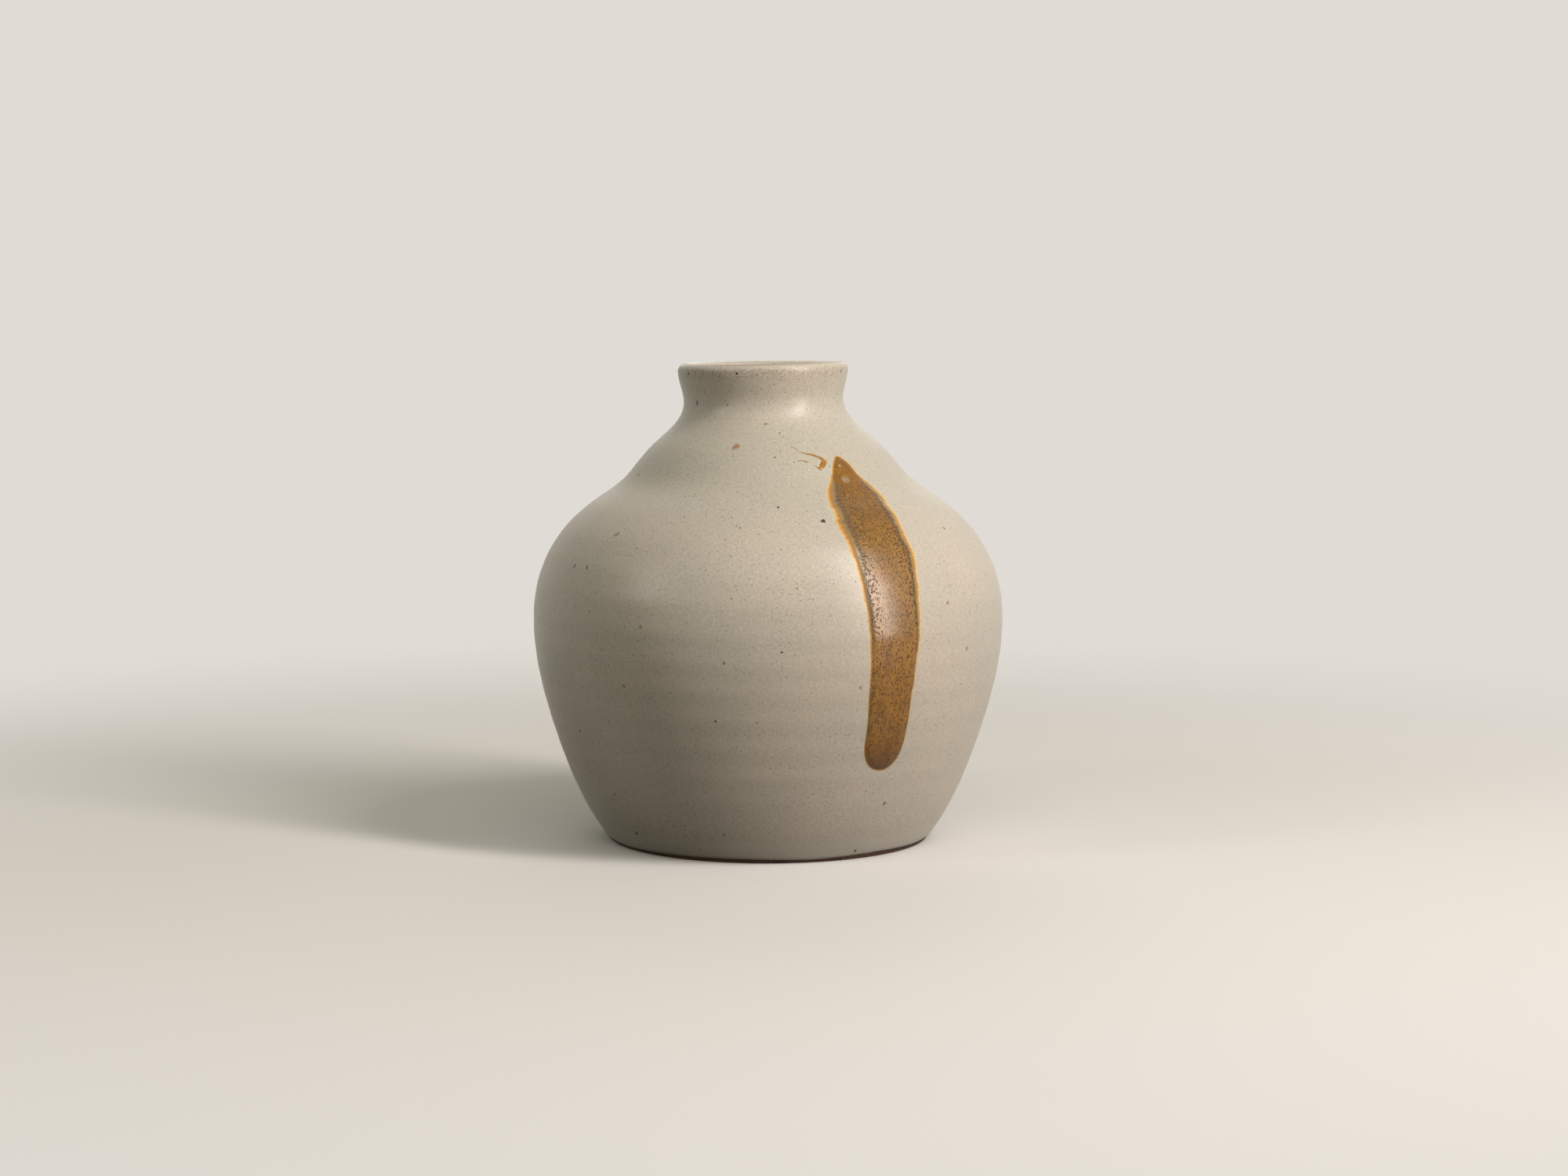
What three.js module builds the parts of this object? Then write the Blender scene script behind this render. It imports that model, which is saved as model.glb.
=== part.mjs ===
// A thrown stoneware vase: round belly, short flared neck and rolled lip. The clay wall is glazed
// outside and inside, and a broad stripe of iron glaze is brushed down it with a stray flick beside.
// Millimetres, +Z up. The origin is on the foot's axis, on the surface that the vase stands on.
// The front faces -Y. Angles go round from the front towards +X, in degrees.
import * as THREE from "three";

// Outside of the glaze, from the foot up: each level's rise from the level below and its radius
const glazeLineRise = 1.0;
const glazeLineRadius = 44.6;
const bevelRise = 3.6;
const bevelRadius = 47.1;
const heelRise = 7.4;
const heelRadius = 51.3;
const flankRise = 18;
const flankRadius = 58.5;
const bellyRise = 28;
const bellyRadius = 64.3;
const breastRise = 22;
const breastRadius = 59.4;
const shoulderRise = 12;
const shoulderRadius = 48.5;
const creaseRise = 7;
const creaseRadius = 39.0;
const hollowRise = 5;
const hollowRadius = 34.7;
const collarRise = 5;
const collarRadius = 29.9;
const neckRootRise = 6;
const neckRootRadius = 23.6;
const waistRise = 6;
const waistRadius = 21.8;
const lipRise = 7;
const lipRadius = 23.2;
const lipCrown = 2.0;

// Whole wall, clay and both glazes, at three levels, and what the clay carries
const footWall = 7.5;
const bellyWall = 5.3;
const lipWall = 4.5;
const glazeThickness = 0.5;
const floorThickness = 6;
const floorRound = 13;

// Turned foot: a flat ring round a shallow recess, with its outer edge eased
const recessDepth = 2.5;
const recessBevel = 1.5;
const footRingWidth = 7.5;
const footBevel = 0.5;

// The neck was set down off centre: it moves along X and tips about Y, from the breast to the lip
const neckShift = -1.4;
const rimTilt = 1.5;

// Brushed iron: how thick it lies at its middle and at its edges, and how sharply it falls to them
const ironThickness = 0.4;
const ironEdge = 0.15;
const ironEdgeSharpness = 4;
const ironEndSharpness = 8;
const ironClearance = 0.06;

// Stripe: it widens from its rounded lower end up to where its tip starts, and swings aside as it rises
const strokeBottom = 25.5;
const strokeLength = 80.3;
const strokeEndRound = 7;
const strokeLowWidth = 12.3;
const strokeHighWidth = 19.6;
const strokeSpreadPower = 1.2;
const strokeTipLength = 16.3;
const strokeTipWidth = 0.8;
const strokeTipPower = 1.9;
const strokeAngle = 30.6;
const strokeSwing = 4.3;
const strokeSwingPower = 5;

// Flick beside the stripe's tip: a hook that runs in from the left, turns down and flicks back, and a
// dash under it. Both are given by shares of the hook's rise and of its greatest width.
const hookBelowTip = 2.45;
const hookRise = 5.15;
const hookWidth = 1.2;
const hookRoute = [
  { angle: 13.4, up: 1, wide: 0.25 },
  { angle: 16.7, up: 0.825, wide: 0.33 },
  { angle: 19.8, up: 0.709, wide: 0.46 },
  { angle: 22.0, up: 0.67, wide: 0.63 },
  { angle: 23.7, up: 0.583, wide: 0.63 },
  { angle: 25.4, up: 0.476, wide: 0.71 },
  { angle: 26.1, up: 0.34, wide: 1 },
  { angle: 25.5, up: 0.184, wide: 0.92 },
  { angle: 24.1, up: 0.068, wide: 0.75 },
  { angle: 23.1, up: 0, wide: 0.5 },
  { angle: 21.9, up: 0.087, wide: 0.29 },
  { angle: 21.0, up: 0.184, wide: 0.21 },
];
const dashRoute = [
  { angle: 15.1, up: 0.437, wide: 0.25 },
  { angle: 16.5, up: 0.417, wide: 0.33 },
  { angle: 17.7, up: 0.359, wide: 0.54 },
  { angle: 18.8, up: 0.301, wide: 0.33 },
];

// Facets: how far a flat may leave its curve, the longest flat, and how many go round. The inner
// face has a row at every second one of the outer rows.
const facetTolerance = 0.2;
const longestFacet = 15;
const facetsRound = 48;
const innerFlatStep = 2;
const lipFacets = 6;
const floorFacets = 4;
const strokeColumns = 8;
const strokeRowHeight = 3.8;
const strokeEndRows = 5;
const flickColumns = 4;

// Heights of the levels, each its rise above the last
function stacked(levels) {
  let height = 0;
  return levels.map((level) => {
    height += level.rise;
    return { ...level, height };
  });
}

const outline = stacked([
  { rise: glazeLineRise, radius: glazeLineRadius },
  { rise: bevelRise, radius: bevelRadius },
  { rise: heelRise, radius: heelRadius },
  { rise: flankRise, radius: flankRadius },
  { rise: bellyRise, radius: bellyRadius },
  { rise: breastRise, radius: breastRadius },
  { rise: shoulderRise, radius: shoulderRadius },
  { rise: creaseRise, radius: creaseRadius },
  { rise: hollowRise, radius: hollowRadius },
  { rise: collarRise, radius: collarRadius },
  { rise: neckRootRise, radius: neckRootRadius },
  { rise: waistRise, radius: waistRadius },
  { rise: lipRise, radius: lipRadius },
]);
const glazeLine = outline[0].height;
const bellyHeight = outline[4].height;
const breastHeight = outline[5].height;
const lipHeight = outline[outline.length - 1].height;
const vaseHeight = lipHeight + lipCrown;

// Cubic spline through the knots [at, value] with no jump in curvature. Its lower end is free. Its
// upper end has the slope given, or is free too. It returns the value and the slope at a place.
function splineThrough(knots, topSlope) {
  const last = knots.length - 1;
  const span = knots.slice(1).map(([at], i) => at - knots[i][0]);
  const grade = knots.slice(1).map(([, value], i) => (value - knots[i][1]) / span[i]);
  const pass = [0];
  const bend = [0];
  for (let i = 1; i <= last; i += 1) {
    const above = i < last ? span[i] : 0;
    const rate = i < last ? grade[i] : topSlope ?? 0;
    const pivot = 2 * (span[i - 1] + above) - span[i - 1] * pass[i - 1];
    pass[i] = above / pivot;
    bend[i] = (6 * (rate - grade[i - 1]) - span[i - 1] * bend[i - 1]) / pivot;
  }
  if (topSlope === undefined) bend[last] = 0;
  for (let i = last - 1; i > 0; i -= 1) bend[i] -= pass[i] * bend[i + 1];
  return (at) => {
    let i = 0;
    while (i < last - 1 && at > knots[i + 1][0]) i += 1;
    const up = at - knots[i][0];
    const start = grade[i] - (span[i] * (2 * bend[i] + bend[i + 1])) / 6;
    const change = (bend[i + 1] - bend[i]) / span[i];
    return {
      value: knots[i][1] + up * (start + up * (bend[i] / 2 + (up * change) / 6)),
      slope: start + up * (bend[i] + (up * change) / 2),
    };
  };
}

const outside = splineThrough(outline.map((level) => [level.height, level.radius]), 0);

// Radius of a face that lies a given depth under the glazed outside
function radiusUnder(height, depth) {
  const { value, slope } = outside(height);
  return value - depth * Math.hypot(1, slope);
}

function wallAt(height) {
  const { lerp } = THREE.MathUtils;
  if (height < bellyHeight) return lerp(footWall, bellyWall, height / bellyHeight);
  return lerp(bellyWall, lipWall, (height - bellyHeight) / (lipHeight - bellyHeight));
}

// Heights at which the outside is cut into flats: a span is halved until its flat lies close enough
function flatsBetween(from, to) {
  const middle = (from + to) / 2;
  const flat = (outside(from).value + outside(to).value) / 2;
  const close = Math.abs(outside(middle).value - flat) < facetTolerance;
  if (close && to - from < longestFacet) return [from];
  return [...flatsBetween(from, middle), ...flatsBetween(middle, to)];
}

const flatHeights = outline.slice(1).flatMap((level, i) => flatsBetween(outline[i].height, level.height));
const point = (radius, height) => new THREE.Vector2(radius, height);

// Outer face a given depth under the glaze's own, from the glaze line up to just under the lip's roll
function outerFace(depth) {
  return flatHeights.map((height) => point(radiusUnder(height, depth), height));
}

// Lip's roll, half an ellipse thinned by depth, from the outside over the crest to the inside
function lipFace(depth) {
  const middle = lipRadius - lipWall / 2;
  return Array.from({ length: lipFacets + 1 }, (_, i) => {
    const turn = Math.PI * (i / lipFacets);
    return point(
      middle + (lipWall / 2 - depth) * Math.cos(turn),
      lipHeight + (lipCrown - depth) * Math.sin(turn),
    );
  });
}

// Inner face, from the middle of the floor up to just under the lip's roll. It lies one glaze
// thickness nearer the clay's outside where glazed is false.
function innerFace(glazed) {
  const skin = glazed ? 0 : glazeThickness;
  const floor = recessDepth + floorThickness + glazeThickness - skin;
  const round = floorRound + skin;
  const inner = (height) => radiusUnder(height, wallAt(height) - skin);
  const corner = Array.from({ length: floorFacets + 1 }, (_, i) => {
    const turn = (Math.PI / 2) * (i / floorFacets);
    const height = floor + round * (1 - Math.cos(turn));
    return point(inner(height) - round * (1 - Math.sin(turn)), height);
  });
  const clearOfCorner = floor + round + longestFacet / 4;
  const wall = flatHeights.filter((height, i) => i % innerFlatStep === 0 && height > clearOfCorner);
  return [point(0, floor), ...corner, ...wall.map((height) => point(inner(height), height))];
}

// Underside: the recess, its bevel, the flat ring that the vase stands on and its eased outer edge
function footFace() {
  const edge = radiusUnder(glazeLine, glazeThickness) - footBevel;
  const recess = edge - footRingWidth;
  return [
    point(0, recessDepth),
    point(recess - recessBevel, recessDepth),
    point(recess, 0),
    point(edge, 0),
  ];
}

// Moves every vertex as the neck was moved: nothing below the breast, all of it at the lip
function setNeck(geometry) {
  const place = geometry.attributes.position;
  for (let i = 0; i < place.count; i += 1) {
    const x = place.getX(i);
    const z = place.getZ(i);
    const share = THREE.MathUtils.smoothstep(z, breastHeight, vaseHeight);
    place.setX(i, x + share * neckShift);
    place.setZ(i, z + share * x * Math.tan(THREE.MathUtils.degToRad(rimTilt)));
  }
  geometry.computeVertexNormals();
  return geometry;
}

// Profile turned about +Z, given so that the solid is on its left as it goes up
function thrown(profile) {
  return setNeck(new THREE.LatheGeometry(profile, facetsRound).rotateX(Math.PI / 2));
}

// Skin turned about +Z from a profile that runs the other way, with its faces turned back to point
// out. The clay's own stretch of profile runs as it does on the clay, so that the flats are the same.
function skinOver(profile) {
  const geometry = thrown(profile);
  const corners = geometry.index.array;
  for (let i = 0; i < corners.length; i += 3) {
    [corners[i + 1], corners[i + 2]] = [corners[i + 2], corners[i + 1]];
  }
  geometry.computeVertexNormals();
  return geometry;
}

function clayBody() {
  return thrown([
    ...footFace(),
    ...outerFace(glazeThickness),
    ...lipFace(glazeThickness),
    ...innerFace(false).reverse(),
  ]);
}

// Dipped glaze: it runs from the glaze line up over the lip's crest and ends just inside the mouth
function outerGlaze() {
  const under = [...outerFace(glazeThickness), ...lipFace(glazeThickness)];
  const face = [...outerFace(0), ...lipFace(0)].reverse();
  return skinOver([...under, ...face, under[0].clone()]);
}

// Poured glaze: it covers the floor and the wall up to where the dipped one ends
function linerGlaze() {
  const ends = [lipFace(0).at(-1), lipFace(glazeThickness).at(-1)];
  return skinOver([...innerFace(true), ...ends, ...innerFace(false).reverse()]);
}

// Point a given lift off the round glazed outside, square to it
function onGlaze(angle, height, lift) {
  const { value, slope } = outside(height);
  const square = Math.hypot(1, slope);
  const radius = value + lift / square;
  const turn = THREE.MathUtils.degToRad(angle);
  return [radius * Math.sin(turn), -radius * Math.cos(turn), height - (lift * slope) / square];
}

// Closed skin of brushed glaze over a strip of rows, each from its left to its right [angle, height].
// Its top swells from the edges to the middle, and its underside clears the glaze's flats.
function brushed(rows, columns) {
  const { lerp } = THREE.MathUtils;
  const last = rows.length - 1;
  const lift = facetTolerance + ironClearance;
  const places = [];
  for (const top of [false, true]) {
    rows.forEach(([left, right], row) => {
      const along = (2 * row) / last - 1;
      for (let column = 0; column <= columns; column += 1) {
        const share = column / columns;
        const swell = (1 - (2 * share - 1) ** ironEdgeSharpness) * (1 - along ** ironEndSharpness);
        const thickness = top ? lerp(ironEdge, ironThickness, swell) : 0;
        const angle = lerp(left[0], right[0], share);
        places.push(...onGlaze(angle, lerp(left[1], right[1], share), lift + thickness));
      }
    });
  }
  const faces = [];
  const quad = (a, b, c, d) => faces.push(a, b, c, a, c, d);
  const under = (row, column) => row * (columns + 1) + column;
  const over = (row, column) => under(rows.length + row, column);
  const side = (from, to) => quad(under(...from), under(...to), over(...to), over(...from));
  for (let row = 0; row < last; row += 1) {
    for (let column = 0; column < columns; column += 1) {
      const [r, c] = [row + 1, column + 1];
      quad(over(row, column), over(row, c), over(r, c), over(r, column));
      quad(under(row, column), under(r, column), under(r, c), under(row, c));
    }
    side([row + 1, 0], [row, 0]);
    side([row, columns], [row + 1, columns]);
  }
  for (let column = 0; column < columns; column += 1) {
    side([0, column], [0, column + 1]);
    side([last, column + 1], [last, column]);
  }
  const geometry = new THREE.BufferGeometry();
  geometry.setAttribute("position", new THREE.Float32BufferAttribute(places, 3));
  geometry.setIndex(faces);
  return setNeck(geometry);
}

// Degrees round the glaze for a length across it at a height
function degreesFor(length, height) {
  return THREE.MathUtils.radToDeg(length / outside(height).value);
}

// Width of the stripe and its middle's angle, at a rise above its lower end
function strokeAt(rise) {
  const tipRise = strokeLength - strokeTipLength;
  const spread = Math.min(rise / tipRise, 1) ** strokeSpreadPower;
  const taper = 1 - Math.max((rise - tipRise) / strokeTipLength, 0) ** strokeTipPower;
  const width = THREE.MathUtils.lerp(strokeLowWidth, strokeHighWidth, spread) * taper;
  const swing = strokeSwing * (rise / strokeLength) ** strokeSwingPower;
  return { width: Math.max(width, strokeTipWidth), middle: strokeAngle + swing };
}

// Stripe: level rows from its rounded lower end to its tip
function ironStroke() {
  const roundRise = (i) => strokeEndRound * (1 - Math.cos((Math.PI / 2) * (i / strokeEndRows)));
  const rises = Array.from({ length: strokeEndRows }, (_, i) => roundRise(i + 0.5));
  const rowCount = Math.ceil((strokeLength - strokeEndRound) / strokeRowHeight);
  for (let i = 0; i <= rowCount; i += 1) {
    rises.push(THREE.MathUtils.lerp(strokeEndRound, strokeLength, i / rowCount));
  }
  const rows = rises.map((rise) => {
    const height = strokeBottom + rise;
    const short = Math.max(0, 1 - rise / strokeEndRound);
    const { width, middle } = strokeAt(rise);
    const half = degreesFor((width * Math.sqrt(1 - short ** 2)) / 2, height);
    return [[middle - half, height], [middle + half, height]];
  });
  return brushed(rows, strokeColumns);
}

// Thin line of iron along a route, each row square to it on the unrolled glaze
function ironFlick(route) {
  const foot = strokeBottom + strokeLength - hookBelowTip;
  const degree = (height) => THREE.MathUtils.degToRad(outside(height).value);
  const rows = route.map(({ angle, up: share, wide }, i) => {
    const before = route[Math.max(i - 1, 0)];
    const after = route[Math.min(i + 1, route.length - 1)];
    const height = foot + hookRise * share;
    const across = (after.angle - before.angle) * degree(height);
    const up = hookRise * (after.up - before.up);
    const half = (hookWidth * wide) / 2 / Math.hypot(across, up);
    const sideways = (up * half) / degree(height);
    return [
      [angle - sideways, height + across * half],
      [angle + sideways, height - across * half],
    ];
  });
  return brushed(rows, flickColumns);
}

const clay = { color: 0x6b4a35, roughness: 0.9 };
const satinGlaze = { color: 0xc6bead, roughness: 0.45 };
const innerGlaze = { color: 0xbdb6a5, roughness: 0.4 };
const ironGlaze = { color: 0x95683a, roughness: 0.3 };

function piece(name, geometry, finish) {
  const mesh = new THREE.Mesh(geometry, new THREE.MeshStandardMaterial({ metalness: 0, ...finish }));
  mesh.name = name;
  return mesh;
}

const vase = new THREE.Group();
vase.add(piece("clay_body", clayBody(), clay));
vase.add(piece("outer_glaze", outerGlaze(), satinGlaze));
vase.add(piece("liner_glaze", linerGlaze(), innerGlaze));
vase.add(piece("iron_stroke", ironStroke(), ironGlaze));
vase.add(piece("iron_flick_hook", ironFlick(hookRoute), ironGlaze));
vase.add(piece("iron_flick_dash", ironFlick(dashRoute), ironGlaze));

export default vase;
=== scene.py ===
"""Looks of a thrown stoneware vase with a satin glaze and one brushed iron stripe.

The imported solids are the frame. Finer surfaces of the same form stand for them: the clay, the dipped glaze
outside, the poured glaze inside, and the iron that was brushed on. Sizes are in millimetres and become metres
where a mesh is made. Angles go round the pot from its front, which faces -Y, towards +X.
"""

from __future__ import annotations

import logging
import math
from dataclasses import dataclass
from enum import Enum
from functools import cached_property
from typing import Any, NamedTuple, Optional

import bpy
import numpy as np
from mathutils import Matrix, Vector


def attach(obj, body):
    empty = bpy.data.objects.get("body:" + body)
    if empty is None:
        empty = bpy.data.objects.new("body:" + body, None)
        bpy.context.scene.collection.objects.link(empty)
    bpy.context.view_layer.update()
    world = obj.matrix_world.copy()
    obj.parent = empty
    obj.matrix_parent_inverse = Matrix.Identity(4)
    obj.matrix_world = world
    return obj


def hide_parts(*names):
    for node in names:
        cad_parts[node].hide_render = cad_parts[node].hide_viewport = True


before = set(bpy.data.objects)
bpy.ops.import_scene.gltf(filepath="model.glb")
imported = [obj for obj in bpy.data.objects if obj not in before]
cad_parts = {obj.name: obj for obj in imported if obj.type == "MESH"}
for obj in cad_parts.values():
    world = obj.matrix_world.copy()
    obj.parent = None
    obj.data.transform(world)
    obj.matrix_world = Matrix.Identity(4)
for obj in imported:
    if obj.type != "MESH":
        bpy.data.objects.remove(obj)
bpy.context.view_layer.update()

log = logging.getLogger("vase")

METRE = 0.001
BODY = "root"
# Depth of a point that no mark comes near, in widths of its fringe
FAR_OUTSIDE = -9.0
# Steps of the fine ruler that even steps are read from
RULER = 4000
# Refractive index of a fired glaze, which is a glass
GLAZE_IOR = 1.5

# Inputs of a colour mix: its factor, the colour below and the colour laid over it
FACTOR, UNDER, OVER = 0, 6, 7
# Settings that mixes of colours, shading by a factor and eased ranges share
COLOUR_MIX = {"output": 2, "data_type": "RGBA"}
SHADING = {**COLOUR_MIX, "blend_type": "MULTIPLY"}
EASED = {"interpolation_type": "SMOOTHSTEP"}

Stops = tuple[tuple[float, str], ...]
Pairs = tuple[tuple[float, float], ...]
Socket = bpy.types.NodeSocket
Tree = bpy.types.NodeTree


def linear(hex_colour: str) -> tuple[float, float, float, float]:
    """Turns an sRGB hex colour into linear light.

    Args:
        hex_colour: Colour such as "#C8C0AE".

    Returns:
        Red, green and blue in linear light, and an alpha of 1.
    """
    srgb = np.array([int(hex_colour[i : i + 2], 16) for i in (1, 3, 5)]) / 255
    light = np.where(srgb <= 0.04045, srgb / 12.92, ((srgb + 0.055) / 1.055) ** 2.4)
    return (*(float(value) for value in light), 1.0)


def smooth(low: float, high: float, value: np.ndarray) -> np.ndarray:
    """Share that eases from 0 at low to 1 at high, as 3 s squared less 2 s cubed."""
    share = np.clip((value - low) / (high - low), 0.0, 1.0)
    return share * share * (3 - 2 * share)


def ripple(angle: np.ndarray, waves: int, seed: int) -> np.ndarray:
    """Uneven wave that closes on itself round the pot.

    It is a sum of cosines of 2 to waves turns, each with its own phase and a height that falls as the root of
    its count.

    Args:
        angle: Angles round the pot, in radians.
        waves: Number of the finest cosine.
        seed: Seed of the phases.

    Returns:
        Heights of the wave, most of them between -1 and 1.
    """
    phases = np.random.default_rng(seed).uniform(0, 2 * math.pi, waves)
    counts = range(2, waves + 1)
    total = sum(np.cos(count * angle + phases[count - 1]) / math.sqrt(count) for count in counts)
    return total / math.sqrt(sum(1 / count for count in counts))


def ring_of(count: int) -> np.ndarray:
    """Even angles once round, without the last one, which is the first again."""
    return np.linspace(0, 2 * math.pi, count, endpoint=False)


def along(steps: np.ndarray) -> np.ndarray:
    """Way from the first point to each point, from the lengths of the steps between them."""
    return np.concatenate([[0], np.cumsum(steps)])


class Level(NamedTuple):
    """A height and the radius of the glazed outside there."""

    height: float
    radius: float


@dataclass(frozen=True)
class SmoothCurve:
    """Cubic spline through knots, with no jump in slope or in curvature.

    On each span the curvature runs straight from one knot's to the next one's.
    """

    at: np.ndarray
    value: np.ndarray
    bend: np.ndarray

    @classmethod
    def through(cls, at: Any, value: Any, last_slope: Optional[float] = None) -> SmoothCurve:
        """Finds the curvature at each knot.

        Args:
            at: Places of the knots, rising.
            value: Values at the knots.
            last_slope: Slope at the last knot. Without one, that end is free, as the first always is.

        Returns:
            The curve.
        """
        at, value = np.asarray(at, float), np.asarray(value, float)
        span = np.diff(at)
        grade = np.diff(value) / span
        terms, sought = np.eye(len(at)), np.zeros(len(at))
        inner = np.arange(1, len(at) - 1)
        terms[inner, inner - 1] = span[:-1]
        terms[inner, inner] = 2 * (span[:-1] + span[1:])
        terms[inner, inner + 1] = span[1:]
        sought[inner] = 6 * np.diff(grade)
        if last_slope is not None:
            terms[-1, -2:] = span[-1], 2 * span[-1]
            sought[-1] = 6 * (last_slope - grade[-1])
        return cls(at, value, np.linalg.solve(terms, sought))

    def __call__(self, where: np.ndarray) -> tuple[np.ndarray, np.ndarray]:
        """Follows the curve.

        Args:
            where: Places on it.

        Returns:
            Value and slope at each place.
        """
        where = np.asarray(where, float)
        i = np.clip(np.searchsorted(self.at, where) - 1, 0, len(self.at) - 2)
        span, up = self.at[i + 1] - self.at[i], where - self.at[i]
        low, high = self.bend[i], self.bend[i + 1]
        start = (self.value[i + 1] - self.value[i]) / span - span * (2 * low + high) / 6
        change = (high - low) / span
        value = self.value[i] + up * (start + up * (low / 2 + up * change / 6))
        return value, start + up * (low + up * change / 2)


@dataclass(frozen=True)
class ThrownForm:
    """The pot as it came off the wheel: its glazed outside, its wall and the neck set a little off centre."""

    levels: tuple[Level, ...] = (
        Level(1.0, 44.6),
        Level(4.6, 47.1),
        Level(12.0, 51.3),
        Level(30.0, 58.5),
        Level(58.0, 64.3),
        Level(80.0, 59.4),
        Level(92.0, 48.5),
        Level(99.0, 39.0),
        Level(104.0, 34.7),
        Level(109.0, 29.9),
        Level(115.0, 23.6),
        Level(121.0, 21.8),
        Level(128.0, 23.2),
    )
    belly_height: float = 58.0
    breast_height: float = 80.0
    lip_crown: float = 2.0
    foot_wall: float = 7.5
    belly_wall: float = 5.3
    lip_wall: float = 4.5
    glaze_thickness: float = 0.5
    recess_depth: float = 2.5
    floor_thickness: float = 6.0
    floor_round: float = 13.0
    floor_shares: tuple[float, float] = (0.06, 0.96)
    neck_shift: float = -1.4
    rim_tilt: float = 1.5
    rim_warp: float = 0.1
    warp_turn: float = 100.0
    lip_rise: float = 0.25
    lip_reach: float = 8.0
    wheel_mark_pitch: float = 7.5
    wheel_mark_depth: float = 0.03
    out_of_round: float = 0.1
    oval_turn: float = 0.7
    slow_share: float = 0.5
    slow_twist: float = 40.0
    marks_start: tuple[float, float] = (4.0, 24.0)
    marks_end: tuple[float, float] = (108.0, 122.0)
    map_steps: int = 2000

    @cached_property
    def outline(self) -> SmoothCurve:
        """Radius of the glazed outside over height, upright where the lip's roll starts."""
        return SmoothCurve.through(*zip(*self.levels), last_slope=0.0)

    @property
    def glaze_line(self) -> float:
        """Height at which the glaze ends above the foot."""
        return self.levels[0].height

    @property
    def lip_height(self) -> float:
        """Height at which the lip's roll starts."""
        return self.levels[-1].height

    @property
    def crest_height(self) -> float:
        """Height of the lip's crest."""
        return self.lip_height + self.lip_crown

    @property
    def lip_middle(self) -> float:
        """Radius of the middle of the lip's wall."""
        return self.levels[-1].radius - self.lip_wall / 2

    @property
    def floor_height(self) -> float:
        """Height of the glazed floor inside."""
        return self.recess_depth + self.floor_thickness + self.glaze_thickness

    def wheel_marks(self, angle: np.ndarray, height: np.ndarray) -> np.ndarray:
        """How far the outside stands off its outline.

        It is the sum of a spiral ridge, one turn to each pitch, an oval of two waves and one slow uneven wave
        that twists by one radian in each slow_twist of height. All of them fade towards the foot, which was
        turned, and towards the lip, which was smoothed.

        Args:
            angle: Angles round the pot, in radians.
            height: Heights.

        Returns:
            Distances, outwards.
        """
        ridge = self.wheel_mark_depth * np.sin(2 * math.pi * height / self.wheel_mark_pitch + angle)
        oval = self.out_of_round * np.cos(2 * angle + self.oval_turn)
        twisted = angle + height / self.slow_twist
        slow = self.slow_share * self.out_of_round * ripple(twisted, waves=4, seed=11)
        fade = smooth(*self.marks_start, height) * (1 - smooth(*self.marks_end, height))
        return (ridge + oval + slow) * fade

    def outside_radius(self, angle: np.ndarray, height: np.ndarray, lift: Any = 0.0) -> np.ndarray:
        """Radius of a skin that stands off the glazed outside by lift, taken square to it."""
        radius, slope = self.outline(height)
        return radius + self.wheel_marks(angle, height) + lift * np.hypot(1, slope)

    def inside_radius(self, height: np.ndarray, depth: Any = 0.0) -> np.ndarray:
        """Radius of the glazed inside, or of a skin under it.

        It is the outside's less the wall, taken square to it. The wall thins straight from the foot to the
        belly and again from the belly to the lip.

        Args:
            height: Heights.
            depth: How far the skin lies under the glaze's face.

        Returns:
            Radii.
        """
        radius, slope = self.outline(height)
        low = self.foot_wall + (self.belly_wall - self.foot_wall) * height / self.belly_height
        share = (height - self.belly_height) / (self.lip_height - self.belly_height)
        high = self.belly_wall + (self.lip_wall - self.belly_wall) * share
        wall = np.where(height < self.belly_height, low, high)
        return radius - (wall - depth) * np.hypot(1, slope)

    def lip_roll(self, turn: np.ndarray, depth: Any = 0.0) -> tuple[np.ndarray, np.ndarray]:
        """Radius and height on the lip's half ellipse, from 0 outside to pi inside, depth under the glaze."""
        radius = self.lip_middle + (self.lip_wall / 2 - depth) * np.cos(turn)
        return radius, self.lip_height + (self.lip_crown - depth) * np.sin(turn)

    def inside_profile(self, depth: float, floor_rows: int, wall_rows: int) -> tuple[np.ndarray, np.ndarray]:
        """Radius and height from near the floor's middle over its rounded corner up to the lip.

        Args:
            depth: How far the profile lies under the glazed inside.
            floor_rows: Points on the floor, and again on its corner.
            wall_rows: Points from the corner to the lip.

        Returns:
            Radii and heights, without the point on the axis.
        """
        floor, bend = self.floor_height - depth, self.floor_round + depth
        turn = np.linspace(0, math.pi / 2, floor_rows)
        corner_height = floor + bend * (1 - np.cos(turn))
        corner = self.inside_radius(corner_height, depth) - bend * (1 - np.sin(turn))
        flat = corner[0] * np.linspace(*self.floor_shares, floor_rows)
        wall_height = np.linspace(corner_height[-1], self.lip_height, wall_rows + 1)[1:]
        radius = np.concatenate([flat, corner, self.inside_radius(wall_height, depth)])
        return radius, np.concatenate([np.full(floor_rows, floor), corner_height, wall_height])

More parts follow.
